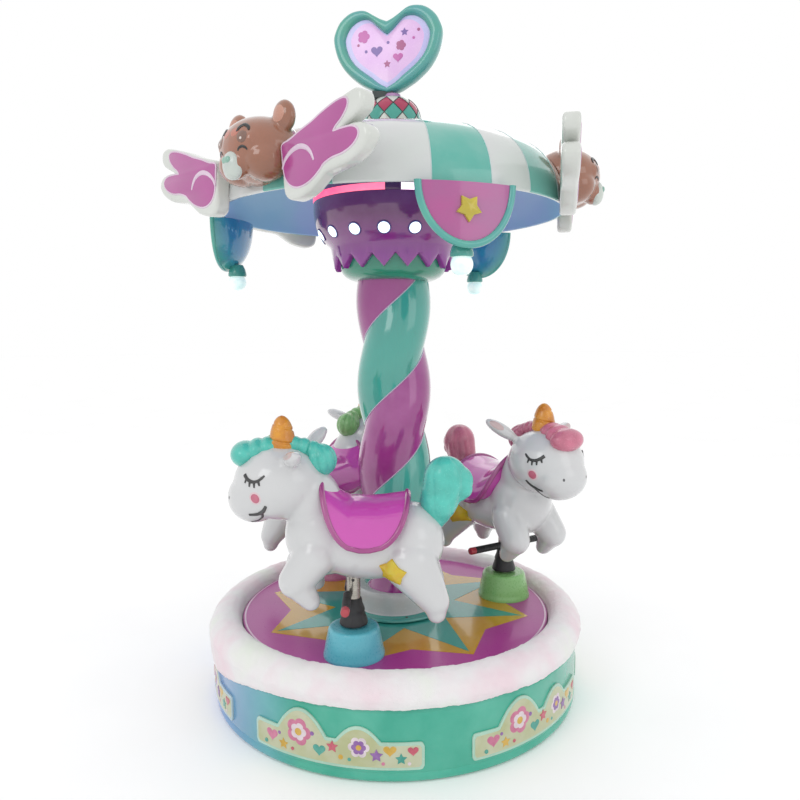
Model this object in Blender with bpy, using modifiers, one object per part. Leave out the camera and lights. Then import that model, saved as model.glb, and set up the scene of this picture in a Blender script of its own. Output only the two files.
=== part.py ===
"""Kiddie carousel with three galloping seats, a twisted column and a domed canopy.

Metres, +Z up, the floor at z = 0, the column's axis on X = Y = 0. The front faces -Y.
Angles called phi run from the front (-Y) towards +X.
"""
import math

import bmesh
import bpy
from mathutils import Matrix, Vector

# Gap between pieces that touch
GAP = 0.0003

# Base
SKIRT_R = 0.612
SKIRT_TOP = 0.235
SKIRT_FLOOR = 0.200
SKIRT_EDGE = 0.012
BASE_SIDES = 48
LIP_R = 0.534
PANELS = 6
PANEL_PHI = -16.2
PANEL_HALF = 23.7
PANEL_LOW = 0.040
PANEL_FLAT = 0.118
PANEL_OUT_R = 0.6165
RIM_IN_R = 0.530
RIM_OUT_R = 0.630
RIM_CREST = 0.292
RIM_LOW = 0.212
RIM_DIP = 0.055
RIM_DIP_PHI = -68.0
RIM_DIP_WIDE = 24.0

# Deck, bearing and the foot of the column
DECK_R = 0.522
DECK_TOP = 0.257
DECK_THICK = 0.020
DECK_HOLE_R = 0.130
BEARING_R = 0.220
BEARING_WIDE = 0.060
FOOT_STEM_R = 0.121
FOOT_DISC_R = 0.178
FOOT_DISC_Z = 0.2625
COLLAR_R = 0.140
COLLAR_TOP = 0.342

# Column
STRAND_R = 0.1025
STRAND_OFF = 0.0225
COLUMN_TOP = 1.374
TWIST_PITCH = 0.566
TWIST_Z = 1.019
TWIST_STEPS = 36

# Drum under the canopy
TEETH = 16
TOOTH_PHI = -8.3
TOOTH_TIP = 1.408
TOOTH_ROOT = 1.449
BOWL_R = 0.177
LED_Z = 1.636
LED_R = 0.263
LED_HALF = 0.0105
DRUM_TOP = 1.7884

# Canopy
CANOPY_RIM_R = 0.563
CANOPY_RIM_Z = 1.586
CANOPY_RISE = 0.215
CANOPY_THICK = 0.012
CANOPY_BAND = 0.006
CANOPY_SIDES = 48
DOME_STEPS = (0.0, 0.40, 0.62, 0.76, 0.86, 0.925, 0.965, 0.99, 1.0)
CAP_R = 0.096
CAP_TOP = 1.966

# Bears and pendants on the canopy's rim
BEAR_PHI = -41.6
BEAR_R = 0.556
BEAR_Z = 1.690
BEAR_HEAD = (0.116, 0.112, 0.090)
BEAR_SHIFT = 0.030
WING_R = 0.561
WING_THICK = 0.048
PENDANT_PHI = (19.5, 144.5, 260.0)
PENDANT_R = 0.592
PENDANT_WIDE = 0.139
PENDANT_DEEP = 0.085
PENDANT_DROP = 0.165
GLOBE_R = 0.030
GLOBE_Z = 1.382
GLOBE_AT = 0.552
GLOBE_LIP = 0.031
GLOBE_LIP_Z = 1.402

# Heart sign
HEART_BOTTOM = 1.977
HEART_TURN = -13.0
HEART_SHIFT = -0.011
HEART_THICK = 0.060
HEART_ROUND = 0.012
HEART_BAND = 0.043
HEART_W = 0.276
HEART_H = 0.192
HEART_OUT_W = 0.362
HEART_OUT_H = 0.266
HEART_CLEFT = 0.73
# Right half of the heart, from the notch to the bottom, in shares of its half width and height
HEART_SHAPE = ((0.0, 0.854), (0.229, 0.927), (0.397, 0.991), (0.558, 1.0), (0.716, 0.971), (0.870, 0.890),
               (0.957, 0.792), (1.0, 0.683), (0.959, 0.527), (0.880, 0.399), (0.744, 0.274), (0.539, 0.154),
               (0.369, 0.085), (0.140, 0.019), (0.0, 0.0))

# Seats
SEATS = 3
SEAT_PHI = (-17.4, 102.6, 217.5)
SEAT_R = 0.4013
SEAT_TURN = (18.6, 18.6, 11.5)
BORE_R = 0.0203
PEDESTAL_R = 0.091
PEDESTAL_TOP = 0.345
POST_R = 0.0195
POST_LOW = 0.264
BOOT_R = 0.042
BOOT_LOW = 0.352
BOOT_TOP = 0.420
PEG_R = 0.0125
PEG_Z = 0.447
PEG_HALF = 0.165
SADDLE_MID = -0.038
SADDLE_HALF = 0.112
SADDLE_SIDE = 90.0
SADDLE_R = 0.1385
SADDLE_Z = 0.612
SADDLE_THICK = 0.042


def clear_scene():
    for obj in list(bpy.data.objects):
        bpy.data.objects.remove(obj, do_unlink=True)


def make_collection(name):
    coll = bpy.data.collections.new(name)
    bpy.context.scene.collection.children.link(coll)
    return coll


def paint(name, rgb, rough):
    mat = bpy.data.materials.new(name)
    mat.use_nodes = True
    shader = mat.node_tree.nodes["Principled BSDF"]
    shader.inputs["Base Color"].default_value = (rgb[0], rgb[1], rgb[2], 1.0)
    shader.inputs["Roughness"].default_value = rough
    return mat


def add_object(name, data, coll):
    obj = bpy.data.objects.new(name, data)
    coll.objects.link(obj)
    return obj


def add_bmesh(name, bm, coll):
    mesh = bpy.data.meshes.new(name)
    bm.to_mesh(mesh)
    bm.free()
    return add_object(name, mesh, coll)


def finish(obj, rgb, rough, sharp=40.0):
    """Give the piece its material and smooth shading with sharp edges kept."""
    obj.data.materials.clear()
    obj.data.materials.append(paint(obj.name, rgb, rough))
    obj.data.shade_smooth()
    obj.data.set_sharp_from_angle(angle=math.radians(sharp))


def bake(obj):
    """Turn the object, a curve or a mesh with modifiers, into a plain welded mesh."""
    deps = bpy.context.evaluated_depsgraph_get()
    mesh = bpy.data.meshes.new_from_object(obj.evaluated_get(deps))
    weld = bmesh.new()
    weld.from_mesh(mesh)
    bmesh.ops.remove_doubles(weld, verts=weld.verts, dist=0.00001)
    bmesh.ops.recalc_face_normals(weld, faces=weld.faces)
    bmesh.ops.triangulate(weld, faces=weld.faces)
    weld.to_mesh(mesh)
    weld.free()
    if obj.type == "MESH":
        obj.modifiers.clear()
        obj.data = mesh
        return obj
    name = obj.name
    coll = obj.users_collection[0]
    matrix = obj.matrix_world.copy()
    bpy.data.objects.remove(obj, do_unlink=True)
    solid = add_object(name, mesh, coll)
    solid.matrix_world = matrix
    return solid


def cut(obj, cutter, how="DIFFERENCE"):
    mod = obj.modifiers.new("cut", "BOOLEAN")
    mod.operation = how
    mod.solver = "EXACT"
    mod.object = cutter
    bpy.context.view_layer.update()
    bake(obj)


def drop(*objects):
    for obj in objects:
        bpy.data.objects.remove(obj, do_unlink=True)


def grown(obj, dist, coll):
    """A copy of the piece for cutting its neighbours, with each vertex moved outward."""
    copy = add_object(obj.name + "_tool", obj.data.copy(), coll)
    copy.matrix_world = obj.matrix_world.copy()
    normals = [v.normal.copy() for v in copy.data.vertices]
    for vert, normal in zip(copy.data.vertices, normals):
        vert.co += normal * dist
    return copy


def thicken(obj, thick, centre):
    """Thicken an open surface inward, towards the centre point."""
    total = sum(p.area * p.normal.dot(p.center - Vector(centre)) for p in obj.data.polygons)
    mod = obj.modifiers.new("thicken", "SOLIDIFY")
    mod.thickness = thick
    mod.offset = -1.0 if total > 0.0 else 1.0
    return bake(obj)


def at(phi, radius, z):
    a = math.radians(phi)
    return Vector((radius * math.sin(a), -radius * math.cos(a), z))


def turned(name, profile, steps, coll, closed=False):
    """Screw a profile of (r, z) points round Z; it runs down its outer side from the top."""
    mesh = bpy.data.meshes.new(name)
    edges = [(i, i + 1) for i in range(len(profile) - 1)]
    if closed:
        edges.append((len(profile) - 1, 0))
    mesh.from_pydata([(r, 0.0, z) for r, z in profile], edges, [])
    obj = add_object(name, mesh, coll)
    mod = obj.modifiers.new("turn", "SCREW")
    mod.steps = steps
    mod.render_steps = steps
    mod.use_merge_vertices = True
    mod.merge_threshold = 0.0001
    return bake(obj)


def plate(name, outlines, half, bevel, coll):
    """A flat outline in the XY plane with its thickness along Z; further outlines are holes.

    The bevel reaches past each outline by its own depth.
    """
    curve = bpy.data.curves.new(name, "CURVE")
    curve.dimensions = "2D"
    curve.fill_mode = "BOTH"
    curve.extrude = half - bevel
    curve.bevel_depth = bevel
    curve.bevel_resolution = 1
    for outline in outlines:
        spline = curve.splines.new("POLY")
        spline.points.add(len(outline) - 1)
        for point, (u, v) in zip(spline.points, outline):
            point.co = (u, v, 0.0, 1.0)
        spline.use_cyclic_u = True
    return bake(add_object(name, curve, coll))


def ball(bm, centre, radii, turn=None, u=20, v=12):
    made = bmesh.ops.create_uvsphere(bm, u_segments=u, v_segments=v, radius=1.0)["verts"]
    scale = Matrix.Diagonal((radii[0], radii[1], radii[2], 1.0))
    mat = Matrix.Translation(Vector(centre)) @ (turn or Matrix.Identity(4)) @ scale
    bmesh.ops.transform(bm, matrix=mat, verts=made)


def limb(bm, start, end, r0, r1, steps=6, squash=1.0):
    """A row of overlapping balls from start to end."""
    for k in range(steps + 1):
        t = k / steps
        r = r0 + (r1 - r0) * t
        ball(bm, Vector(start).lerp(Vector(end), t), (r, r * squash, r), u=14, v=8)


def fused(name, bm, coll, voxel, faces, softness=4):
    """Fuse overlapping balls into one closed skin, soften it and thin it out."""
    obj = add_bmesh(name, bm, coll)
    mod = obj.modifiers.new("fuse", "REMESH")
    mod.mode = "VOXEL"
    mod.voxel_size = voxel
    mod = obj.modifiers.new("soften", "SMOOTH")
    mod.factor = 0.5
    mod.iterations = softness
    bake(obj)
    mod = obj.modifiers.new("thin", "DECIMATE")
    mod.ratio = min(1.0, faces / len(obj.data.polygons))
    return bake(obj)


def keep_largest(obj):
    """Drop the small scraps that a cut leaves beside the piece."""
    bm = bmesh.new()
    bm.from_mesh(obj.data)
    left = set(bm.verts)
    groups = []
    while left:
        group = set()
        stack = [left.pop()]
        while stack:
            vert = stack.pop()
            group.add(vert)
            near = {edge.other_vert(vert) for edge in vert.link_edges}
            stack.extend(near & left)
            left -= near
        groups.append(group)
    groups.sort(key=len, reverse=True)
    for group in groups[1:]:
        bmesh.ops.delete(bm, geom=list(group), context="VERTS")
    bm.to_mesh(obj.data)
    bm.free()


def panel_top(off):
    """Height of a panel's cloud-shaped top edge, off degrees from the panel's middle."""
    first = 0.186 - 0.00125 * (off + 8.6) ** 2
    second = 0.160 - 0.00125 * (off - 7.0) ** 2
    return max(PANEL_FLAT, first, second)


def make_skirt(coll, tools):
    wall = [(0.0, SKIRT_FLOOR), (LIP_R, SKIRT_FLOOR), (LIP_R, SKIRT_TOP), (SKIRT_R, SKIRT_TOP),
            (SKIRT_R, SKIRT_EDGE), (SKIRT_R - SKIRT_EDGE * 0.35, SKIRT_EDGE * 0.35),
            (SKIRT_R - SKIRT_EDGE, 0.0), (0.0, 0.0)]
    skirt = turned("base_skirt", wall, BASE_SIDES, coll)
    # Each raised panel is a cloud outline pushed out radially and trimmed by a thin band
    count = 12
    outline = []
    for i in range(count + 1):
        off = PANEL_HALF - 2.0 * PANEL_HALF * i / count
        outline.append((PANEL_OUT_R * math.sin(math.radians(off)), panel_top(off)))
    side = PANEL_OUT_R * math.sin(math.radians(PANEL_HALF))
    outline += [(-side, PANEL_LOW), (side, PANEL_LOW)]
    slab = plate("panel_outline", [outline], 0.06, 0.0, tools)
    deep = SKIRT_R - 0.012
    band = [(PANEL_OUT_R, SKIRT_TOP), (PANEL_OUT_R, 0.02), (deep, 0.02), (deep, SKIRT_TOP)]
    for k in range(PANELS):
        mid = PANEL_PHI + 360.0 / PANELS * k
        panel = turned("panel_band", band, BASE_SIDES, tools, closed=True)
        slab.matrix_world = (Matrix.Rotation(math.radians(mid), 4, "Z")
                             @ Matrix.Translation((0.0, -(PANEL_OUT_R - 0.04), 0.0))
                             @ Matrix.Rotation(math.radians(90.0), 4, "X"))
        cut(panel, slab, "INTERSECT")
        cut(skirt, panel, "UNION")
        drop(panel)
    drop(slab)
    finish(skirt, (0.10, 0.62, 0.52), 0.25)


def make_rim(coll):
    """Icing rim: hooks over the skirt's top edge; it runs down lower at one side."""
    inner = SKIRT_TOP + GAP
    wall = PANEL_OUT_R + 0.001
    section = [(RIM_IN_R, inner), (wall, inner), (wall, RIM_LOW), (RIM_OUT_R - 0.008, RIM_LOW),
               (RIM_OUT_R - 0.002, RIM_LOW + 0.016), (RIM_OUT_R, RIM_CREST - 0.056),
               (RIM_OUT_R - 0.009, RIM_CREST - 0.028), (RIM_OUT_R - 0.032, RIM_CREST - 0.006),
               (RIM_IN_R + 0.032, RIM_CREST), (RIM_IN_R + 0.010, RIM_CREST - 0.006), (RIM_IN_R, RIM_CREST - 0.022)]
    rim = turned("icing_rim", section[::-1], BASE_SIDES, coll, closed=True)
    for vert in rim.data.vertices:
        phi = math.degrees(math.atan2(vert.co.x, -vert.co.y))
        if vert.co.z < RIM_LOW + 0.010:
            vert.co.z -= RIM_DIP * math.exp(-((phi - RIM_DIP_PHI) / RIM_DIP_WIDE) ** 2)
        elif vert.co.z > RIM_CREST - 0.010:
            vert.co.z += 0.0025 * math.sin(math.radians(phi * 9.0))
    finish(rim, (0.90, 0.90, 0.90), 0.8)


def make_foot(coll):
    low = SKIRT_FLOOR + GAP
    high = DECK_TOP - DECK_THICK - GAP
    out = BEARING_R + BEARING_WIDE / 2.0
    inside = BEARING_R - BEARING_WIDE / 2.0
    bearing = turned("deck_bearing", [(out, high), (out, low), (inside, low), (inside, high)], 32, coll, closed=True)
    finish(bearing, (0.35, 0.36, 0.38), 0.4)
    foot = turned("column_foot", [(0.0, COLLAR_TOP), (COLLAR_R - 0.010, COLLAR_TOP), (COLLAR_R - 0.003, COLLAR_TOP - 0.005),
                                  (COLLAR_R, COLLAR_TOP - 0.022),
                                  (COLLAR_R, FOOT_DISC_Z + 0.009), (FOOT_DISC_R - 0.004, FOOT_DISC_Z + 0.008),
                                  (FOOT_DISC_R, FOOT_DISC_Z + 0.004), (FOOT_DISC_R, FOOT_DISC_Z),
                                  (FOOT_STEM_R, FOOT_DISC_Z), (FOOT_STEM_R, low), (0.0, low)], 32, coll)
    finish(foot, (0.90, 0.90, 0.90), 0.35)


def make_strand(name, side, flat, coll):
    """One strand of the column: a round-backed section extruded and turned up the column."""
    low = COLLAR_TOP + GAP
    rise = (COLUMN_TOP - low) / TWIST_STEPS
    first = 2.0 * math.pi * (low - TWIST_Z) / TWIST_PITCH + math.radians(side)
    edge = math.acos((flat - STRAND_OFF) / STRAND_R)
    arc = 9
    bm = bmesh.new()
    verts = []
    for i in range(arc + 1):
        a = -edge + 2.0 * edge * i / arc
        verts.append(bm.verts.new((STRAND_OFF + STRAND_R * math.cos(a), STRAND_R * math.sin(a), low)))
    for part in (0.4, 0.0, -0.4):
        verts.append(bm.verts.new((flat, STRAND_R * math.sin(edge) * part, low)))
    bmesh.ops.rotate(bm, verts=bm.verts, cent=(0.0, 0.0, 0.0), matrix=Matrix.Rotation(first, 3, "Z"))
    faces = [bm.faces.new(verts[::-1])]
    step = Matrix.Rotation(2.0 * math.pi * rise / TWIST_PITCH, 3, "Z")
    for k in range(TWIST_STEPS):
        ring = faces + list(faces[0].edges)
        made = bmesh.ops.extrude_face_region(bm, geom=ring, use_keep_orig=(k == 0))["geom"]
        moved = [item for item in made if isinstance(item, bmesh.types.BMVert)]
        faces = [item for item in made if isinstance(item, bmesh.types.BMFace)]
        bmesh.ops.translate(bm, vec=(0.0, 0.0, rise), verts=moved)
        bmesh.ops.rotate(bm, verts=moved, cent=(0.0, 0.0, 0.0), matrix=step)
    return bake(add_bmesh(name, bm, coll))


def make_column(coll, tools):
    pink = make_strand("column_strand_pink", 0.0, 0.0, coll)
    teal = make_strand("column_strand_teal", 180.0, -0.030, coll)
    tool = grown(pink, GAP, tools)
    cut(teal, tool)
    keep_largest(teal)
    drop(tool)
    finish(pink, (0.62, 0.10, 0.42), 0.2, 60.0)
    finish(teal, (0.12, 0.62, 0.56), 0.2, 60.0)


def tooth(phi):
    """0 at a notch of the zig-zag edge, 1 at a tooth's tip."""
    part = ((phi - TOOTH_PHI) * TEETH / 360.0) % 1.0
    return abs(2.0 * part - 1.0)


def make_drum(coll):
    sides = TEETH * 2
    line_up = Matrix.Rotation(math.radians(TOOTH_PHI), 4, "Z")
    low = COLUMN_TOP + GAP
    top = TOOTH_ROOT + 0.0005
    bowl = turned("collar_bowl", [(0.0, top), (BOWL_R, top), (BOWL_R - 0.001, 1.424), (0.170, 1.402),
                                  (0.152, 1.384), (0.128, low), (0.0, low)], sides, coll)
    bowl.data.transform(line_up)
    finish(bowl, (0.10, 0.60, 0.52), 0.25)

    # The lowest points of the profile are moved into the zig-zag edge after turning
    inside = BOWL_R + 0.0006
    floor = top + GAP
    groove = 0.2525
    drum = turned("drum", [(0.0, DRUM_TOP), (0.160, DRUM_TOP), (0.245, 1.690), (0.2575, LED_Z + LED_HALF),
                           (groove, LED_Z + LED_HALF), (groove, LED_Z - LED_HALF), (0.261, LED_Z - LED_HALF),
                           (0.262, 1.590), (0.253, 1.543), (0.229, 1.504), (0.206, 1.482), (0.196, TOOTH_TIP + 0.004),
                           (0.189, TOOTH_TIP), (inside, TOOTH_TIP), (inside, floor), (0.0, floor)],
                  sides, coll)
    drum.data.transform(line_up)
    for vert in drum.data.vertices:
        phi = math.degrees(math.atan2(vert.co.x, -vert.co.y))
        if vert.co.z < TOOTH_TIP + 0.010:
            vert.co.z += (TOOTH_ROOT - TOOTH_TIP) * (1.0 - tooth(phi))
    finish(drum, (0.30, 0.06, 0.33), 0.25)
    z = LED_HALF - GAP
    back = groove + GAP
    band = turned("led_ring", [(LED_R - 0.002, LED_Z + z), (LED_R, LED_Z), (LED_R - 0.002, LED_Z - z),
                               (back, LED_Z - z), (back, LED_Z + z)], sides, coll, closed=True)
    band.data.transform(line_up)
    finish(band, (0.95, 0.25, 0.35), 0.3)


def dome_height(r):
    curve = CANOPY_RISE * math.sqrt(max(0.0, 1.0 - (r / CANOPY_RIM_R) ** 6))
    return CANOPY_RIM_Z + max(CANOPY_BAND, curve)


def make_canopy(coll):
    profile = [(CANOPY_RIM_R * t, dome_height(CANOPY_RIM_R * t)) for t in DOME_STEPS]
    profile.append((CANOPY_RIM_R, CANOPY_RIM_Z))
    shell = turned("canopy_shell", profile, CANOPY_SIDES, coll)
    thicken(shell, CANOPY_THICK, (0.0, 0.0, CANOPY_RIM_Z - 0.2))
    finish(shell, (0.85, 0.90, 0.88), 0.25)
    low = dome_height(0.0) + GAP
    cap = turned("cap_dome", [(0.0, HEART_BOTTOM - GAP), (0.031, HEART_BOTTOM - GAP), (0.031, CAP_TOP),
                              (CAP_R - 0.046, CAP_TOP - 0.006), (CAP_R - 0.020, CAP_TOP - 0.026),
                              (CAP_R - 0.005, CAP_TOP - 0.056), (CAP_R, CAP_TOP - 0.090), (CAP_R, low),
                              (0.0, low)], 32, coll)
    finish(cap, (0.55, 0.80, 0.76), 0.25)


def heart_outline(wide, high, cleft, lift):
    """Heart from its notch round the right lobe; cleft is the notch's height as a share of the whole."""
    right = []
    for across, up in HEART_SHAPE:
        notch = (HEART_SHAPE[0][1] - cleft) * max(0.0, 1.0 - across / 0.45)
        right.append((across * wide / 2.0, lift + (up - notch) * high))
    return right + [(-u, v) for u, v in reversed(right[1:-1])]


def make_heart(coll, tools):
    r = HEART_ROUND
    outer = heart_outline(HEART_OUT_W - 2.0 * r, HEART_OUT_H - 2.0 * r, HEART_SHAPE[0][1], r)
    hole = heart_outline(HEART_W, HEART_H, HEART_CLEFT, HEART_BAND)
    shrink = 6.0 * GAP
    glass = heart_outline(HEART_W - shrink, HEART_H - shrink, HEART_CLEFT, HEART_BAND + shrink / 2.0)
    stand = (Matrix.Translation((HEART_SHIFT, 0.0, HEART_BOTTOM))
             @ Matrix.Rotation(math.radians(HEART_TURN), 4, "Z") @ Matrix.Rotation(math.radians(90.0), 4, "X"))
    frame = plate("heart_frame", [outer], HEART_THICK / 2.0, r, coll)
    opening = plate("heart_opening", [hole], HEART_THICK, 0.0, tools)
    cut(frame, opening)
    drop(opening)
    face = plate("heart_face", [glass], HEART_THICK / 2.0 - 0.014, 0.0, coll)
    for obj, rgb in ((frame, (0.15, 0.62, 0.62)), (face, (0.93, 0.80, 0.97))):
        obj.data.transform(stand)
        finish(obj, rgb, 0.2)


def wing_outline():
    """Both wings as seen from outside, with the bar through the head that joins them."""
    right = [(0.0, 1.690), (0.152, 1.692), (0.200, 1.707), (0.250, 1.722), (0.300, 1.741), (0.350, 1.756),
             (0.410, 1.769), (0.430, 1.761), (0.436, 1.742), (0.428, 1.720), (0.398, 1.703), (0.374, 1.691),
             (0.402, 1.693), (0.434, 1.687), (0.450, 1.669), (0.450, 1.650), (0.428, 1.627), (0.390, 1.608),
             (0.350, 1.600), (0.303, 1.592), (0.276, 1.576), (0.247, 1.557), (0.214, 1.546), (0.182, 1.542),
             (0.156, 1.552), (0.146, 1.578), (0.144, 1.655), (0.0, 1.655)]
    return right + [(-u, v) for u, v in reversed(right[1:-1])]


def make_bears(coll, tools):
    grow = GAP + 0.0002
    rim = CANOPY_RIM_R + grow
    filled = [(rim * t, dome_height(CANOPY_RIM_R * t) + grow) for t in DOME_STEPS]
    filled += [(rim, 1.40), (0.0, 1.40)]
    dome = turned("dome_tool", filled, CANOPY_SIDES, tools)
    wings = plate("bear_wings_1", [wing_outline()], WING_THICK / 2.0, 0.0, coll)
    wings.data.transform(Matrix.Rotation(math.radians(BEAR_PHI), 4, "Z") @ Matrix.Translation((0.0, -WING_R, 0.0))
                         @ Matrix.Rotation(math.radians(90.0), 4, "X"))
    cut(wings, dome)
    keep_largest(wings)

    bm = bmesh.new()
    ball(bm, (0.0, -BEAR_R, BEAR_Z), BEAR_HEAD, u=24, v=16)
    for s in (-1.0, 1.0):
        ball(bm, (s * 0.097, -BEAR_R - 0.002, BEAR_Z + 0.075), (0.037, 0.025, 0.042))
        ball(bm, (s * 0.052, -BEAR_R - 0.030, BEAR_Z - 0.034), (0.062, 0.062, 0.055))
    ball(bm, (0.0, -BEAR_R - 0.094, BEAR_Z - 0.052), (0.038, 0.028, 0.033))
    bmesh.ops.translate(bm, verts=bm.verts, vec=(BEAR_SHIFT, 0.0, 0.0))
    bmesh.ops.rotate(bm, verts=bm.verts, cent=(0.0, 0.0, 0.0), matrix=Matrix.Rotation(math.radians(BEAR_PHI), 3, "Z"))
    head = fused("bear_head_1", bm, coll, 0.008, 340)
    cut(head, dome)
    slot = grown(wings, GAP, tools)
    cut(head, slot)
    keep_largest(head)
    drop(dome, slot)
    finish(head, (0.52, 0.30, 0.22), 0.25, 60.0)
    finish(wings, (0.72, 0.20, 0.58), 0.25)
    for k in (1, 2):
        for source in (head, wings):
            twin = add_object(source.name[:-1] + str(k + 1), source.data, coll)
            twin.rotation_euler = (0.0, 0.0, math.radians(120.0 * k))


def make_pendants(coll, tools):
    """Half-round pouch under the rim, open ball lamp below it; one mesh for all three."""
    top = CANOPY_RIM_Z - 0.0006
    low = top - PENDANT_DROP - 0.02
    trim = turned("pendant_trim", [(PENDANT_R, top), (PENDANT_R, low), (0.40, low), (0.40, top)], 96, tools,
                  closed=True)
    bm = bmesh.new()
    ball(bm, (0.0, -PENDANT_R, top + 0.002), (PENDANT_WIDE, PENDANT_DEEP, PENDANT_DROP), u=20, v=12)
    first = bake(add_bmesh("pendant_1", bm, coll))
    cut(first, trim, "INTERSECT")
    r = GLOBE_R
    lip = GLOBE_LIP_Z
    bell = turned("pendant_bell", [(0.0, lip + 0.045), (0.024, lip + 0.043), (GLOBE_LIP, lip + 0.008), (GLOBE_LIP, lip),
                                   (0.020, lip - 0.002), (r * 0.90, GLOBE_Z + r * 0.43), (r, GLOBE_Z),
                                   (r * 0.87, GLOBE_Z - r * 0.5), (r * 0.5, GLOBE_Z - r * 0.87),
                                   (0.0, GLOBE_Z - r)], 14, tools)
    bell.data.transform(Matrix.Translation((0.0, -GLOBE_AT, 0.0)))
    cut(first, bell, "UNION")
    drop(trim, bell)
    finish(first, (0.14, 0.62, 0.58), 0.25)
    for k, phi in enumerate(PENDANT_PHI):
        obj = first if k == 0 else add_object("pendant_%d" % (k + 1), first.data, coll)
        obj.rotation_euler = (0.0, 0.0, math.radians(phi))


def unicorn_balls(bm):
    ball(bm, (-0.050, 0.0, 0.603), (0.185, 0.117, 0.112))
    ball(bm, (-0.160, 0.0, 0.599), (0.108, 0.119, 0.117))
    ball(bm, (0.085, 0.0, 0.622), (0.112, 0.106, 0.120))
    ball(bm, (0.115, 0.0, 0.720), (0.086, 0.088, 0.112), Matrix.Rotation(math.radians(25.0), 4, "Y"))
    ball(bm, (0.210, 0.0, 0.778), (0.130, 0.119, 0.109))
    ball(bm, (0.278, 0.0, 0.737), (0.080, 0.092, 0.076))
    for place, lean in (((0.118, -0.112, 0.880), (-0.060, -0.085, 0.066)),
                        ((0.156, 0.114, 0.862), (-0.030, 0.100, 0.034))):
        ball(bm, place, (0.025, 0.021, 0.064), Vector(lean).to_track_quat("Z", "Y").to_matrix().to_4x4())
    for s in (-1.0, 1.0):
        limb(bm, (0.105, s * 0.066, 0.575), (0.158, s * 0.082, 0.510), 0.060, 0.049, 4)
        limb(bm, (0.158, s * 0.082, 0.510), (0.116, s * 0.082, 0.450), 0.046, 0.027, 4)
        limb(bm, (-0.165, s * 0.068, 0.555), (-0.234, s * 0.088, 0.448), 0.078, 0.042, 5)
        limb(bm, (-0.234, s * 0.088, 0.448), (-0.238, s * 0.092, 0.414), 0.038, 0.028, 3)


def saddle_blank(coll):
    """Saddle over the back: a grid bent round the body with raised ends, thickened inward."""
    bm = bmesh.new()
    bmesh.ops.create_grid(bm, x_segments=11, y_segments=6, size=1.0)
    for vert in bm.verts:
        side = vert.co.x
        along = vert.co.y
        ang = math.radians(SADDLE_SIDE * side)
        span = SADDLE_HALF * math.sqrt(max(0.0, 1.0 - abs(side) ** 2.6)) + 0.014
        edge = max(0.0, abs(along) - 0.30) / 0.70
        lift = ((0.066 if along > 0.0 else 0.016) * edge ** 1.4 - 0.021) * max(0.0, math.cos(ang)) ** 1.3
        vert.co = (SADDLE_MID + span * along, SADDLE_R * math.sin(ang), SADDLE_Z + SADDLE_R * math.cos(ang) + lift)
    obj = add_bmesh("saddle_1", bm, coll)
    return thicken(obj, SADDLE_THICK, (SADDLE_MID, 0.0, SADDLE_Z))


def make_seat(coll, tools):
    """The first unicorn with its post, in its own frame: X ahead, Y to its left."""
    bm = bmesh.new()
    unicorn_balls(bm)
    body = fused("unicorn_body_1", bm, coll, 0.0105, 800)
    skin = grown(body, GAP, tools)
    saddle = saddle_blank(coll)

    bm = bmesh.new()
    ball(bm, (0.300, 0.0, 0.862), (0.048, 0.064, 0.039))
    limb(bm, (0.280, 0.0, 0.872), (0.200, 0.0, 0.886), 0.027, 0.025, 5)
    limb(bm, (0.200, 0.0, 0.886), (0.110, 0.0, 0.868), 0.025, 0.029, 5)
    ball(bm, (0.090, 0.0, 0.842), (0.047, 0.046, 0.049))
    mane = fused("mane_1", bm, coll, 0.006, 230)
    horn = turned("horn_1", [(0.0, 0.970), (0.018, 0.963), (0.029, 0.945), (0.036, 0.920), (0.0405, 0.893),
                             (0.0395, 0.872), (0.036, 0.845), (0.0, 0.845)], 12, coll)
    horn.data.transform(Matrix.Translation((0.199, 0.0, 0.0)))

    bm = bmesh.new()
    limb(bm, (-0.238, 0.0, 0.668), (-0.250, 0.0, 0.712), 0.036, 0.056, 3, 0.95)
    limb(bm, (-0.250, 0.0, 0.712), (-0.272, 0.0, 0.782), 0.056, 0.066, 3, 0.88)
    limb(bm, (-0.272, 0.0, 0.782), (-0.310, 0.0, 0.776), 0.062, 0.044, 3, 0.9)
    ball(bm, (-0.322, 0.0, 0.752), (0.030, 0.034, 0.030))
    tail = fused("tail_1", bm, coll, 0.008, 220)

    post = turned("post_1", [(0.0, 0.560), (0.0205, 0.560), (0.0205, BOOT_TOP + 0.006), (0.024, BOOT_TOP - 0.004),
                             (BOOT_R, BOOT_LOW + 0.008), (BOOT_R, BOOT_LOW), (POST_R, BOOT_LOW), (POST_R, POST_LOW),
                             (0.0, POST_LOW)], 16, coll)
    bm = bmesh.new()
    across = Matrix.Translation((0.016, 0.0, PEG_Z)) @ Matrix.Rotation(math.pi / 2.0, 4, "X")
    bmesh.ops.create_cone(bm, cap_ends=True, segments=10, radius1=PEG_R, radius2=PEG_R, depth=2.0 * PEG_HALF,
                          matrix=across)
    peg = add_bmesh("peg_tool", bm, tools)
    cut(post, peg, "UNION")

    for obj in (saddle, mane, horn, tail, post):
        cut(obj, skin)
        keep_largest(obj)
    hair = grown(mane, GAP, tools)
    cut(horn, hair)
    keep_largest(horn)
    drop(skin, hair, peg)
    finish(body, (0.86, 0.86, 0.86), 0.25, 60.0)
    finish(saddle, (0.70, 0.14, 0.48), 0.2, 60.0)
    finish(mane, (0.20, 0.70, 0.66), 0.3, 60.0)
    finish(horn, (0.92, 0.50, 0.08), 0.35, 60.0)
    finish(tail, (0.20, 0.70, 0.66), 0.3, 60.0)
    finish(post, (0.03, 0.03, 0.03), 0.45)
    return [body, saddle, mane, horn, tail, post]


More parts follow.
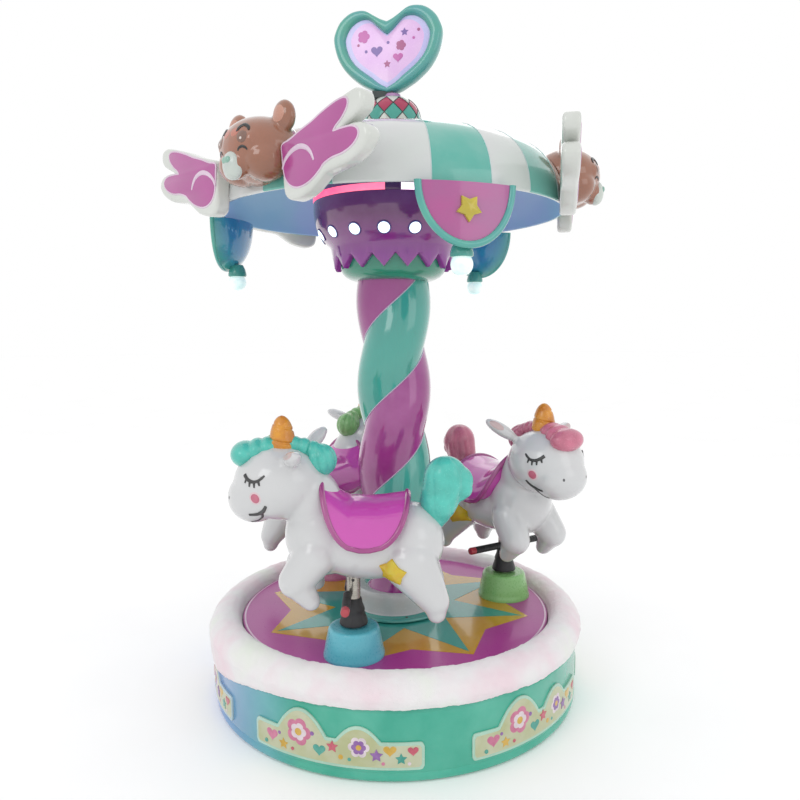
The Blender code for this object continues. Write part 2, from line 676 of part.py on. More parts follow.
def make_seats(coll, tools):
    pieces = make_seat(coll, tools)
    hair = ((0.20, 0.70, 0.66), (0.85, 0.35, 0.50), (0.45, 0.68, 0.40))
    for k in range(SEATS):
        phi = SEAT_PHI[k]
        ahead = 180.0 + phi + SEAT_TURN[k]
        for source in pieces:
            obj = source if k == 0 else add_object(source.name[:-1] + str(k + 1), source.data, coll)
            obj.location = at(phi, SEAT_R, 0.0)
            obj.rotation_euler = (0.0, 0.0, math.radians(ahead))
            if k > 0 and source.name[:4] in ("mane", "tail"):
                obj.material_slots[0].link = "OBJECT"
                obj.material_slots[0].material = paint(obj.name, hair[k], 0.3)


def make_deck(coll):
    low = DECK_TOP - DECK_THICK
    deck = turned("deck", [(DECK_R - 0.002, DECK_TOP), (DECK_R, DECK_TOP - 0.002), (DECK_R, low + 0.002),
                           (DECK_R - 0.002, low), (DECK_HOLE_R, low), (DECK_HOLE_R, DECK_TOP)], 48, coll, closed=True)
    finish(deck, (0.75, 0.22, 0.55), 0.25)
    low = DECK_TOP + GAP
    tints = ((0.30, 0.66, 0.76), (0.45, 0.78, 0.45), (0.85, 0.45, 0.65))
    for k in range(SEATS):
        cone = turned("pedestal_%d" % (k + 1), [(0.064, PEDESTAL_TOP), (0.072, PEDESTAL_TOP - 0.004),
                                                (0.077, PEDESTAL_TOP - 0.014), (0.084, low + 0.045),
                                                (PEDESTAL_R - 0.002, low + 0.014), (PEDESTAL_R, low),
                                                (BORE_R, low), (BORE_R, PEDESTAL_TOP)], 20, coll, closed=True)
        cone.location = at(SEAT_PHI[k], SEAT_R, 0.0)
        finish(cone, tints[k], 0.3)


def main():
    clear_scene()
    coll = make_collection("kiddie_carousel")
    tools = make_collection("cutters")
    make_skirt(coll, tools)
    make_rim(coll)
    make_foot(coll)
    make_column(coll, tools)
    make_drum(coll)
    make_canopy(coll)
    make_heart(coll, tools)
    make_bears(coll, tools)
    make_pendants(coll, tools)
    make_deck(coll)
    make_seats(coll, tools)


main()
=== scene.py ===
import math

import bmesh
import bpy
from bpy.props import FloatProperty, FloatVectorProperty, PointerProperty
from bpy.types import Operator, Panel, PropertyGroup
from mathutils import Matrix, Vector, noise
from mathutils.bvhtree import BVHTree


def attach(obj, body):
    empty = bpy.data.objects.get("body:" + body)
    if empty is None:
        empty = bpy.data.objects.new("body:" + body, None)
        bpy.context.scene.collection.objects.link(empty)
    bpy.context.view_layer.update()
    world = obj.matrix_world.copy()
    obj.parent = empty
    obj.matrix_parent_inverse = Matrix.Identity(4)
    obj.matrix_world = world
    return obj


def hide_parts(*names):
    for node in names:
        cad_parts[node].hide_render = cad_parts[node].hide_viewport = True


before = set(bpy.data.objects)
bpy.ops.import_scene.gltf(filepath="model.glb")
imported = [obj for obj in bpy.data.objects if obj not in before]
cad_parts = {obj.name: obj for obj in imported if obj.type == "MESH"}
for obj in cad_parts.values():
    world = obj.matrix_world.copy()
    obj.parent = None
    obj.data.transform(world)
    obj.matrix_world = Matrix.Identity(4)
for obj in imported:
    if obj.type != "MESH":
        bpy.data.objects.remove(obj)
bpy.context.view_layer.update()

bl_info = {
    "name": "Kiddie carousel dresser",
    "version": (1, 0, 0),
    "blender": (4, 5, 0),
    "location": "3D View > Sidebar > Carousel",
    "description": "Builds the painted shells, lamps and figures of a kiddie carousel round its solids",
    "category": "Object",
}

# Places that the solids share, in metres and degrees from the front
SEAT_PHI = (-17.4, 102.6, 217.5)
SEAT_R = 0.4013
SEAT_TURN = (18.6, 18.6, 11.5)
BEAR_PHI = -41.6
BEAR_R = 0.556
BEAR_Z = 1.690
BEAR_SHIFT = 0.030
WING_R = 0.561
WING_HALF = 0.024
PENDANT_PHI = (19.5, 144.5, 260.0)
PENDANT_R = 0.592
PANEL_PHI = -16.2
PANEL_HALF = 23.7
PANEL_R = 0.6165
TOOTH_PHI = -8.3
TEETH = 16
CANOPY_R = 0.563
CANOPY_Z = 1.586
CANOPY_RISE = 0.215
# Share of a colour's brightness that the sprayed finish keeps under the studio light
DEPTH = 0.78
# Shares of a stamped shape's outline at which its rows of points lie
RINGS = (0.3, 0.6, 0.85, 0.96, 1.0)


def linear(code):
    """Linear colour of a six-digit sRGB code."""
    parts = [int(code[i:i + 2], 16) / 255.0 for i in (0, 2, 4)]
    return tuple(c / 12.92 if c <= 0.04045 else ((c + 0.055) / 1.055) ** 2.4 for c in parts)


def tint(label, code, note):
    return FloatVectorProperty(name=label, description=note, subtype="COLOR", size=3, min=0.0, max=1.0,
                               default=linear(code))


def length(label, value, note):
    return FloatProperty(name=label, description=note, default=value, min=0.0, unit="LENGTH")


class CarouselPaint(PropertyGroup):
    """Colours of the painted shells"""
    base_teal: tint("Base teal", "3bc3a6", "Skirt of the base")
    # Painted reflection: the blue that the skirt and the panel borders run into on their left side is coloured light
    # falling on them, not paint.
    skirt_blue_reflection: tint("Base blue", "6f86d2", "Blue end of the skirt's spray")
    snow: tint("Snow", "ebe8e9", "Icing rim")
    snow_pink: tint("Snow pink", "ecd8df", "Pink breath of the icing rim")
    mint: tint("Mint", "bfe9d3", "Borders of the base panels")
    khaki: tint("Khaki", "c3c795", "Fields of the base panels")
    deck_pink: tint("Deck pink", "bd3ca0", "Deck")
    deck_gold: tint("Deck gold", "dca51c", "Outer star of the deck")
    deck_teal: tint("Deck teal", "3cab9f", "Inner star of the deck and foot disc")
    teal: tint("Teal", "4cb9a9", "Column strand, bowl and canopy gores")
    bowl: tint("Bowl", "2f9d7e", "Bowl under the drum")
    magenta: tint("Magenta", "b02f97", "Column strand")
    purple: tint("Purple", "7e2475", "Drum")
    white: tint("White", "e0e1e2", "Unicorns, gores and wing borders")
    # Painted light: the lilac-blue of the canopy's underside and its glow stand for light falling under the dome, where
    # there is no lamp.
    inside: tint("Canopy inside", "93a6d8", "Lit underside of the canopy")
    cherry: tint("Cherry", "c22a5c", "Diamonds of the cap")
    heart_teal: tint("Heart teal", "57aeb2", "Frame of the heart")
    bear_brown: tint("Bear brown", "ad7159", "Bear heads")
    wing_pink: tint("Wing pink", "c14fa2", "Fields of the wings")
    saddle: tint("Saddle", "de50c0", "Saddles")
    saddle_edge: tint("Saddle edge", "b02e8c", "Rolled edges of the saddles")
    hair_teal: tint("Teal hair", "5cdccc", "Hair of the first unicorn")
    hair_pink: tint("Pink hair", "e5839f", "Hair of the second unicorn")
    hair_green: tint("Green hair", "8ecb7e", "Hair of the third unicorn")
    horn: tint("Horn", "f6a824", "Horns")
    gold: tint("Gold", "e2cc2a", "Stars")
    black: tint("Black", "141416", "Lashes, mouths, boots and pegs")
    red: tint("Red", "c02a3c", "Ends of the foot pegs")
    blue_foot: tint("Blue foot", "66cfe2", "First pedestal")
    green_foot: tint("Green foot", "98da84", "Second pedestal")
    pink_foot: tint("Pink foot", "d978a8", "Third pedestal")


class CarouselSizes(PropertyGroup):
    """Sizes of the details on the shells"""
    lamp: length("Lamp radius", 0.0185, "Round lamps of the drum")
    lash: length("Lash width", 0.0048, "Half width of the painted lashes")
    snow_puff: length("Snow puff", 0.0032, "Depth of the puffs of the icing rim")
    wing_edge: length("Wing edge", 0.0042, "Pale line round each wing's field")
    saddle_roll: length("Saddle roll", 0.0085, "Radius of the rolled edge of a saddle")
    seam: length("Seam", 0.0022, "Radius of the pale seams of the column")


def colour(name):
    return tuple(getattr(bpy.context.scene.carousel_paint, name))


def sizes():
    return bpy.context.scene.carousel_sizes


def shade(rgb, factor):
    """The colour darkened below 1 or lightened above it."""
    if factor <= 1.0:
        return tuple(c * factor for c in rgb)
    return tuple(c + (1.0 - c) * (factor - 1.0) for c in rgb)


def at(phi, radius, z):
    a = math.radians(phi)
    return Vector((radius * math.sin(a), -radius * math.cos(a), z))


def phi_of(point):
    return math.degrees(math.atan2(point.x, -point.y))


def mm(*numbers):
    """Points in metres from pairs of numbers in millimetres."""
    return [(a / 1000.0, b / 1000.0) for a, b in zip(numbers[::2], numbers[1::2])]


def shifted(x, y, z):
    return Matrix.Translation((x, y, z))


def turned(degrees, axis="Z"):
    return Matrix.Rotation(math.radians(degrees), 4, axis)


def add(name, data):
    obj = bpy.data.objects.new(name, data)
    bpy.context.scene.collection.objects.link(obj)
    return obj


def put(node, **sockets):
    """Set a node's inputs; an underscore in a name stands for a space."""
    for key, value in sockets.items():
        node.inputs[key.replace("_", " ")].default_value = value
    return node


def new_node(mat, kind, **sockets):
    return put(mat.node_tree.nodes.new(kind), **sockets)


def blotches(mat, scale, detail, low, high, stops=(0.35, 0.68)):
    """Soft clouds between two colours over the piece's own coordinates."""
    links = mat.node_tree.links
    coords = mat.node_tree.nodes.new("ShaderNodeTexCoord")
    clouds = new_node(mat, "ShaderNodeTexNoise", Scale=scale, Detail=detail)
    ramp = mat.node_tree.nodes.new("ShaderNodeValToRGB")
    links.new(coords.outputs["Object"], clouds.inputs["Vector"])
    links.new(clouds.outputs["Fac"], ramp.inputs["Fac"])
    for stop, place, rgb in zip(ramp.color_ramp.elements, stops, (low, high)):
        stop.position = place
        stop.color = (*rgb, 1.0)
    return coords, clouds, ramp


def paint(name, rgb, second=None, rough=0.2, coat=0.4, cloud=7.0, grain=150.0, relief=0.10, glow=0.0, metal=0.0,
          sheen=0.0):
    """Sprayed finish: the colour drifts in clouds, the gloss varies and a fine grain lifts the surface."""
    name += "_finish"
    mat = bpy.data.materials.get(name)
    if mat:
        return mat
    mat = bpy.data.materials.new(name)
    mat.use_nodes = True
    links = mat.node_tree.links
    shader = mat.node_tree.nodes["Principled BSDF"]
    low = shade(shade(rgb, 0.86) if second is None else second, DEPTH)
    rgb = shade(rgb, DEPTH)
    coords, clouds, ramp = blotches(mat, cloud, 4.0, low, rgb if second else shade(rgb, 1.05))
    links.new(ramp.outputs["Color"], shader.inputs["Base Color"])
    fine = new_node(mat, "ShaderNodeTexNoise", Scale=grain, Detail=3.0)
    links.new(coords.outputs["Object"], fine.inputs["Vector"])
    spread = new_node(mat, "ShaderNodeMapRange", To_Min=rough * 0.75, To_Max=min(1.0, rough * 1.3))
    links.new(fine.outputs["Fac"], spread.inputs["Value"])
    links.new(spread.outputs["Result"], shader.inputs["Roughness"])
    lift = new_node(mat, "ShaderNodeBump", Strength=relief, Distance=0.002)
    links.new(fine.outputs["Fac"], lift.inputs["Height"])
    links.new(lift.outputs["Normal"], shader.inputs["Normal"])
    shader.inputs["Coat Weight"].default_value = coat
    shader.inputs["Coat Roughness"].default_value = 0.06
    shader.inputs["Metallic"].default_value = metal
    if sheen:
        shader.inputs["Sheen Weight"].default_value = sheen
    if glow:
        links.new(ramp.outputs["Color"], shader.inputs["Emission Color"])
        shader.inputs["Emission Strength"].default_value = glow
    return mat


def spray(name, rgb, second, axis, start, end, **finish):
    """A paint that runs into a second colour along one axis of the piece."""
    mat = bpy.data.materials.get(name + "_finish")
    if mat:
        return mat
    mat = paint(name, rgb, **finish)
    nodes, links = mat.node_tree.nodes, mat.node_tree.links
    shader = nodes["Principled BSDF"]
    base = shader.inputs["Base Color"].links[0].from_socket
    coords = nodes.new("ShaderNodeTexCoord")
    split = nodes.new("ShaderNodeSeparateXYZ")
    run = new_node(mat, "ShaderNodeMapRange", From_Min=start, From_Max=end)
    mix = nodes.new("ShaderNodeMix")
    mix.data_type = "RGBA"
    links.new(coords.outputs["Object"], split.inputs["Vector"])
    links.new(split.outputs[axis], run.inputs["Value"])
    links.new(run.outputs["Result"], mix.inputs["Factor"])
    links.new(base, mix.inputs["A"])
    mix.inputs["B"].default_value = (*second, 1.0)
    links.new(mix.outputs["Result"], shader.inputs["Base Color"])
    return mat


def mount(name, mesh, body, hides=(), sharp=38.0, place=None, own_axes=False):
    """Put a finished mesh in the scene, on its body, in the place of the solids that it stands for."""
    if place and not own_axes:
        mesh = mesh.copy()
        mesh.transform(place)
    mesh.shade_smooth()
    mesh.set_sharp_from_angle(angle=math.radians(sharp))
    obj = add(name, mesh)
    if place and own_axes:
        obj.matrix_world = place
    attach(obj, body)
    if hides:
        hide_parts(*hides)
    return obj


def piece(name, form, paints, body, hides=(), picks=None, sharp=38.0, place=None):
    verts, faces = form
    mesh = bpy.data.meshes.new(name)
    mesh.from_pydata([tuple(v) for v in verts], [], [tuple(f) for f in faces])
    for mat in paints:
        mesh.materials.append(mat)
    if picks:
        mesh.polygons.foreach_set("material_index", picks)
    bm = bmesh.new()
    bm.from_mesh(mesh)
    bmesh.ops.recalc_face_normals(bm, faces=bm.faces)
    bm.to_mesh(mesh)
    bm.free()
    return mount(name, mesh, body, hides, sharp, place)


def joined(forms):
    """Several lots of points and faces as one."""
    verts, faces = [], []
    for more, loops in forms:
        start = len(verts)
        verts += list(more)
        faces += [[start + i for i in loop] for loop in loops]
    return verts, faces


def moved(form, matrix):
    return [matrix @ Vector(v) for v in form[0]], form[1]


def lathe(profile, steps=192, closed=False, angles=None, warp=None):
    """Points and faces of (r, z) pairs turned round the upright axis."""
    if angles is None:
        angles = [360.0 * i / steps for i in range(steps)]
    verts, rows = [], []
    for r, z in profile:
        if r < 1e-6:
            rows.append([len(verts)])
            verts.append(Vector((0.0, 0.0, z)))
            continue
        rows.append(range(len(verts), len(verts) + len(angles)))
        verts += [at(phi, r, z) for phi in angles]
    if warp:
        verts = [warp(v) for v in verts]
    pairs = list(zip(rows, rows[1:])) + ([(rows[-1], rows[0])] if closed else [])
    faces = []
    for a, b in pairs:
        for i in range(len(angles)):
            k = (i + 1) % len(angles)
            loop = [a[i % len(a)], b[i % len(b)], b[k % len(b)], a[k % len(a)]]
            loop = [v for n, v in enumerate(loop) if v not in loop[:n]]
            if len(loop) > 2:
                faces.append(loop)
    return verts, faces


def grid(rows, cols, closed=False, start=0, wrap=True):
    """Faces between rows of points; wrap joins the ends of each row, closed the last row to the first."""
    faces = []
    for j in range(rows if closed else rows - 1):
        a, b = start + j * cols, start + (j + 1) % rows * cols
        for i in range(cols if wrap else cols - 1):
            k = (i + 1) % cols
            faces.append([a + i, a + k, b + k, b + i])
    return faces


def smooth_line(points, per=6, closed=True):
    """A smooth curve through the points."""
    pts = [Vector(p) for p in points]
    n = len(pts)
    out = []
    for i in range(n if closed else n - 1):
        if closed:
            p0, p1, p2, p3 = pts[i - 1], pts[i], pts[(i + 1) % n], pts[(i + 2) % n]
        else:
            p0, p1, p2, p3 = pts[max(i - 1, 0)], pts[i], pts[i + 1], pts[min(i + 2, n - 1)]
        for k in range(per):
            t = k / per
            out.append(0.5 * (2.0 * p1 + (p2 - p0) * t + (2.0 * p0 - 5.0 * p1 + 4.0 * p2 - p3) * t * t
                              + (3.0 * p1 - p0 - 3.0 * p2 + p3) * t ** 3))
    if not closed:
        out.append(pts[-1].copy())
    return out


def bar(path, ups, width, flat=1.0, sides=10, closed=False):
    """A rounded bar along a path. Width may be a function of the share run; flat squashes it along ups."""
    n = len(path)
    verts, faces = [], []
    for i, p in enumerate(path):
        ahead = path[(i + 1) % n] if closed or i + 1 < n else p
        behind = path[i - 1] if closed or i > 0 else p
        along = (ahead - behind).normalized()
        up = ups[i] if isinstance(ups, list) else ups
        up = (up - along * up.dot(along)).normalized()
        side = along.cross(up)
        w = width(i / (n - 1)) if callable(width) else width
        for k in range(sides):
            a = 2.0 * math.pi * k / sides
            verts.append(p + side * (w * math.cos(a)) + up * (w * flat * math.sin(a)))
    faces += grid(n, sides, closed)
    if not closed:
        faces.append(list(range(sides))[::-1])
        faces.append([(n - 1) * sides + k for k in range(sides)])
    return verts, faces


def stamp(place, cu, cv, outline, lift, rings=RINGS, dome=0.0):
    """A raised shape about its own middle, laid down by place(u, v, height), its rim just under the surface."""
    verts = [place(cu, cv, lift + dome)]
    n = len(outline)
    for s in rings:
        rise = lift + dome * (1.0 - s * s) if s < 1.0 else -0.3 * lift
        verts += [place(cu + u * s, cv + v * s, rise) for u, v in outline]
    faces = [[0, 1 + i, 1 + (i + 1) % n] for i in range(n)]
    for row in range(len(rings) - 1):
        a = 1 + row * n
        b = a + n
        faces += [[a + i, b + i, b + (i + 1) % n, a + (i + 1) % n] for i in range(n)]
    return verts, faces


def star(radius, inner=0.5, points=5, turn=90.0, per=4):
    """Star outline with straight sides; turn is the heading of its first point."""
    corners = []
    for i in range(points * 2):
        a = math.radians(turn + 180.0 * i / points)
        r = radius if i % 2 == 0 else radius * inner
        corners.append(Vector((r * math.cos(a), r * math.sin(a))))
    out = []
    for i, p in enumerate(corners):
        q = corners[(i + 1) % len(corners)]
        out += [tuple(p.lerp(q, k / per)) for k in range(per)]
    return out


def disc(radius, across=1.0, count=28):
    return [(radius * across * math.cos(2.0 * math.pi * i / count), radius * math.sin(2.0 * math.pi * i / count))
            for i in range(count)]


def blossom(radius, petals=5, depth=0.24, turn=0.0, count=60):
    out = []
    for i in range(count):
        a = 2.0 * math.pi * i / count
        r = radius * (1.0 - depth + depth * abs(math.cos(petals * (a - turn) / 2.0)) ** 0.7)
        out.append((r * math.cos(a), r * math.sin(a)))
    return out


def small_heart(radius, count=40):
    out = []
    for i in range(count):
        t = 2.0 * math.pi * i / count
        y = 13.0 * math.cos(t) - 5.0 * math.cos(2 * t) - 2.0 * math.cos(3 * t) - math.cos(4 * t)
        out.append((radius * math.sin(t) ** 3, radius * (y + 2.5) / 17.0))
    return out


def bake(obj):
    """The object's mesh with its modifiers applied; the object goes."""
    bpy.context.view_layer.update()
    deps = bpy.context.evaluated_depsgraph_get()
    mesh = bpy.data.meshes.new_from_object(obj.evaluated_get(deps))
    bpy.data.objects.remove(obj, do_unlink=True)
    return mesh


def ball(centre, radii, turn=None):
    return Vector(centre), Vector(radii), turn


def blob(*numbers):
    """A ball from its middle and its radii in millimetres."""
    return ball([n / 1000.0 for n in numbers[:3]], [n / 1000.0 for n in numbers[3:]])


def limb(start, end, r0, r1, steps=6, squash=1.0):
    """A row of balls from start to end."""
    out = []
    for k in range(steps + 1):
        t = k / steps
        r = r0 + (r1 - r0) * t
        out.append(ball(Vector(start).lerp(Vector(end), t), (r, r * squash, r)))
    return out


def fuse(name, balls, voxel, soften, factor=0.5):
    """Overlapping balls grown together into one soft skin."""
    bm = bmesh.new()
    for centre, radii, turn in balls:
        made = bmesh.ops.create_uvsphere(bm, u_segments=32, v_segments=20, radius=1.0)["verts"]
        size = Matrix.Diagonal((*radii, 1.0))
        bmesh.ops.transform(bm, matrix=Matrix.Translation(centre) @ (turn or Matrix.Identity(4)) @ size, verts=made)
    mesh = bpy.data.meshes.new(name)
    bm.to_mesh(mesh)
    bm.free()
    obj = add(name, mesh)
    mod = obj.modifiers.new("fuse", "REMESH")
    mod.mode = "VOXEL"
    mod.voxel_size = voxel
    mod = obj.modifiers.new("soften", "SMOOTH")
    mod.factor = factor
    mod.iterations = soften
    return bake(obj)


def plate(name, outline, half, bevel, shrink=0.0, holes=()):
    """A flat outline in the XY plane with its thickness along Z and soft edges that stay within it."""
    curve = bpy.data.curves.new(name, "CURVE")
    curve.dimensions = "2D"
    curve.fill_mode = "BOTH"
    curve.extrude = half - bevel
    curve.bevel_depth = bevel
    curve.bevel_resolution = 3
    curve.offset = -(bevel + shrink)
    for line in (outline, *holes):
        spline = curve.splines.new("POLY")
        spline.points.add(len(line) - 1)
        for point, p in zip(spline.points, line):
            point.co = (p[0], p[1], 0.0, 1.0)
        spline.use_cyclic_u = True
    obj = add(name, curve)
    mesh = bake(obj)
    bm = bmesh.new()
    bm.from_mesh(mesh)
    bmesh.ops.remove_doubles(bm, verts=bm.verts, dist=0.00002)
    bmesh.ops.recalc_face_normals(bm, faces=bm.faces)
    bm.to_mesh(mesh)
    bm.free()
    return mesh


def dome_height(r):
    return CANOPY_Z + max(0.006, CANOPY_RISE * math.sqrt(max(0.0, 1.0 - (r / CANOPY_R) ** 6)))


def facing(phi, radius, z=0.0):
    """Matrix of an upright plane that faces outward: its X runs towards +phi, its Y up, its Z outward."""
    turn = turned(phi)
    return turn @ shifted(0.0, -radius, z) @ turned(90.0, "X")


# Base

def cloud_top(off):
    """Height of a panel's top edge, off degrees from its middle."""
    first = 0.186 - 0.00125 * (off + 8.6) ** 2
    second = 0.160 - 0.00125 * (off - 7.0) ** 2
    return max(0.118, first, second)


def panel_slab(mid, margin, deep, proud, corner):
    """A bent plate with the panel's cloud outline, drawn in by margin, its corners and front edge rounded."""
    half = PANEL_HALF - math.degrees(margin / PANEL_R)
    count = 110
    soft = 0.0016
    verts, faces = [], []
    for i in range(count + 1):
        off = -half + 2.0 * half * i / count
        room = math.radians(half - abs(off)) * PANEL_R
        nip = corner - math.sqrt(max(0.0, corner ** 2 - (corner - min(room, corner)) ** 2))
        low = 0.040 + margin + nip * 0.9
        steps = [margin * k / 3.0 for k in range(-3, 4)]
        top = min(cloud_top(off + math.degrees(d / PANEL_R)) - math.sqrt(max(0.0, margin ** 2 - d * d))
                  for d in steps) - nip * 0.9
        for r, z in ((deep, low), (proud - soft, low), (proud, low + soft), (proud, top - soft),
                     (proud - soft, top), (deep, top)):
            verts.append(at(mid + off, r, z))
    faces += grid(count + 1, 6)
    faces.append([0, 1, 2, 3, 4, 5])
    faces.append([count * 6 + k for k in range(6)])
    return verts, faces


PANEL_MOTIFS = (
    ("petal_pink", -0.098, 0.118, blossom(0.040)), ("petal_white", -0.098, 0.118, blossom(0.026)),
    ("petal_gold", -0.098, 0.118, disc(0.011)),
    ("petal_white", 0.078, 0.102, blossom(0.030, 6)), ("petal_lilac", 0.078, 0.102, blossom(0.021, 6)),
    ("petal_gold", 0.078, 0.102, disc(0.008)),
    ("petal_pink", -0.190, 0.083, small_heart(0.021)), ("petal_gold", -0.149, 0.070, star(0.017)),
    ("petal_teal", -0.213, 0.060, disc(0.006)), ("petal_lilac", -0.163, 0.098, disc(0.005)),
    ("petal_teal", -0.034, 0.078, small_heart(0.019)), ("petal_red", 0.004, 0.096, star(0.018)),
    ("petal_gold", 0.028, 0.070, disc(0.007)), ("petal_lilac", -0.055, 0.122, disc(0.006)),
    ("petal_lilac", 0.126, 0.082, star(0.019)), ("petal_gold", 0.162, 0.094, small_heart(0.018)),
    ("petal_teal", 0.192, 0.073, star(0.017)), ("petal_red", 0.224, 0.093, small_heart(0.015)),
    ("petal_pink", 0.144, 0.060, disc(0.005)), ("petal_white", 0.214, 0.060, disc(0.005)),
    ("petal_red", -0.118, 0.064, disc(0.005)), ("petal_teal", 0.052, 0.066, disc(0.005)),
)
PETALS = {"petal_pink": "e07aa0", "petal_white": "f6e6ec", "petal_gold": "e9b93c", "petal_lilac": "9a62b4",
          "petal_teal": "3fae9d", "petal_red": "d9566f"}


def petal_paint(name):
    return paint(name, linear(PETALS[name]), rough=0.3, coat=0.4, cloud=40.0)


def make_skirt():
    edge = [(0.612 - 0.014 * (1.0 - math.cos(a)), 0.014 - 0.014 * math.sin(a))
            for a in [math.radians(90.0 * k / 8) for k in range(9)]]
    profile = mm(0, 200, 534, 200, 534, 235, 612, 235, 612, 205, 613.5, 200, 613.5, 196, 612, 191, 612, 33,
                 610.5, 30, 612, 27) + edge
    profile += [(0.590, 0.0), (0.0, 0.0)]
    # The skirt's teal runs into a painted reflection of blue light towards its left side.
    teal = spray("base_teal", colour("base_teal"), colour("skirt_blue_reflection"), "X", -0.26, -0.62, rough=0.22, relief=0.06)
    piece("skirt", lathe(profile, 240), [teal], "base", ["base_skirt"])
    # The panel borders run into the same painted blue reflection on the left.
    mint = spray("panel_mint", colour("mint"), shade(colour("skirt_blue_reflection"), 1.3), "X", -0.35, -0.70, rough=0.25)
    field = paint("panel_khaki", colour("khaki"), shade(colour("khaki"), 1.25), rough=0.3, coat=0.5, cloud=14.0)
    for k in range(6):
        mid = PANEL_PHI + 60.0 * k
        piece("panel_border_%d" % (k + 1), panel_slab(mid, 0.0, 0.606, 0.6165, 0.012), [mint], "base")
        piece("panel_field_%d" % (k + 1), panel_slab(mid, 0.0075, 0.608, 0.6172, 0.009), [field], "base")

        def place(u, v, h):
            return at(mid + math.degrees(u / PANEL_R), 0.6172 + h, v)

        for name in PETALS:
            layers = [stamp(place, u, v, outline, 0.0006 + 0.0004 * (i % 3)) for i, (key, u, v, outline)
                      in enumerate(PANEL_MOTIFS) if key == name]
            piece("%s_%d" % (name, k + 1), joined(layers), [petal_paint(name)], "base")


def snow_dip(phi):
    return 0.055 * math.exp(-((phi + 68.0) / 24.0) ** 2)


def make_rim():
    line = smooth_line(mm(530, 236.5, 529, 262, 538, 281, 560, 292.5, 590, 288, 616, 268, 629, 243,
                          627.5, 225, 621.5, 212.5, 617.5, 215, 617.5, 235.3), 5)
    verts, faces = lathe([(p.x, p.y) for p in line], 560, closed=True)
    puff = sizes().snow_puff
    for v in verts:
        r = math.hypot(v.x, v.y)
        phi = phi_of(v)
        if v.z < 0.232 and r > 0.6:
            low = min(1.0, (0.232 - v.z) / 0.015)
            v.z -= snow_dip(phi) * low
            v.z += low * 0.004 * noise.noise(v * 11.0)
        if r > 0.618 or v.z > 0.245:
            out = Vector((v.x / r * (r - 0.580) * 8.0, v.y / r * (r - 0.580) * 8.0, (v.z - 0.245) * 12.0)).normalized()
            lump = noise.noise(v * 26.0) * 0.75 + noise.noise(v * 75.0 + Vector((3.0, 1.0, 2.0))) * 0.45
            push = puff * lump + 0.0016 * noise.noise(v * 210.0)
            if r < 0.545:
                push = min(push, 0.0)
            v += out * push
    snow = bpy.data.materials.new("snow_fleece")
    snow.use_nodes = True
    nodes, links = snow.node_tree.nodes, snow.node_tree.links
    shader = nodes["Principled BSDF"]
    coords, clouds, ramp = blotches(snow, 5.0, 3.0, colour("snow_pink"), colour("snow"), (0.36, 0.52))
    extra = ramp.color_ramp.elements.new(0.72)
    extra.color = (*shade(linear("e3ecdd"), 1.1), 1.0)
    links.new(ramp.outputs["Color"], shader.inputs["Base Color"])
    fine = new_node(snow, "ShaderNodeTexNoise", Scale=420.0, Detail=6.0)
    links.new(coords.outputs["Object"], fine.inputs["Vector"])
    lift = new_node(snow, "ShaderNodeBump", Strength=0.55, Distance=0.004)
    links.new(fine.outputs["Fac"], lift.inputs["Height"])
    links.new(lift.outputs["Normal"], shader.inputs["Normal"])
    put(shader, Roughness=0.92, Sheen_Weight=0.35)
    piece("snow_rim", (verts, faces), [snow], "base", ["icing_rim"], sharp=180.0)


def make_deck():
    pink = paint("deck_pink", colour("deck_pink"), shade(colour("deck_pink"), 0.90), rough=0.30, coat=0.25, cloud=4.0)
    profile = mm(130, 257, 519.5, 257, 522, 254.5, 522, 239.5, 519.5, 237, 130, 237)
    piece("deck_disc", lathe(profile, 192, closed=True), [pink], "deck_unit", ["deck"])
    line = paint("deck_line", linear("f0c8e6"), rough=0.3)
    piece("deck_line", lathe(mm(511.5, 256.8, 511.5, 257.6, 516.5, 257.6, 516.5, 256.8), 192, True),
          [line], "deck_unit")
    for name, tips, dips, high, key in (("deck_star_gold", 0.458, 0.362, 0.0006, "deck_gold"),
                                        ("deck_star_teal", 0.436, 0.208, 0.0012, "deck_teal")):
        outer = []
        for i in range(16):
            a = 30.6 + 22.5 * i
            b = a + 22.5
            p = at(a, tips if i % 2 == 0 else dips, 0.257 + high)
            q = at(b, dips if i % 2 == 0 else tips, 0.257 + high)
            outer += [p.lerp(q, k / 6.0) for k in range(6)]
        n = len(outer)
        inner = [at(phi_of(p), 0.136, 0.257 + high) for p in outer]
        skirt = [Vector((p.x, p.y, 0.2566)) for p in outer]
        faces = [[i, (i + 1) % n, n + (i + 1) % n, n + i] for i in range(n)]
        faces += [[i, 2 * n + i, 2 * n + (i + 1) % n, (i + 1) % n] for i in range(n)]
        mat = paint(name, colour(key), shade(colour(key), 0.93), rough=0.2, coat=0.8, cloud=9.0)
        piece(name, (outer + inner + skirt, faces), [mat], "deck_unit")
    metal = paint("bearing_steel", linear("6d7075"), rough=0.35, coat=0.0, metal=0.9, cloud=30.0)
    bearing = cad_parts["deck_bearing"]
    bearing.data.materials.clear()
    bearing.data.materials.append(metal)


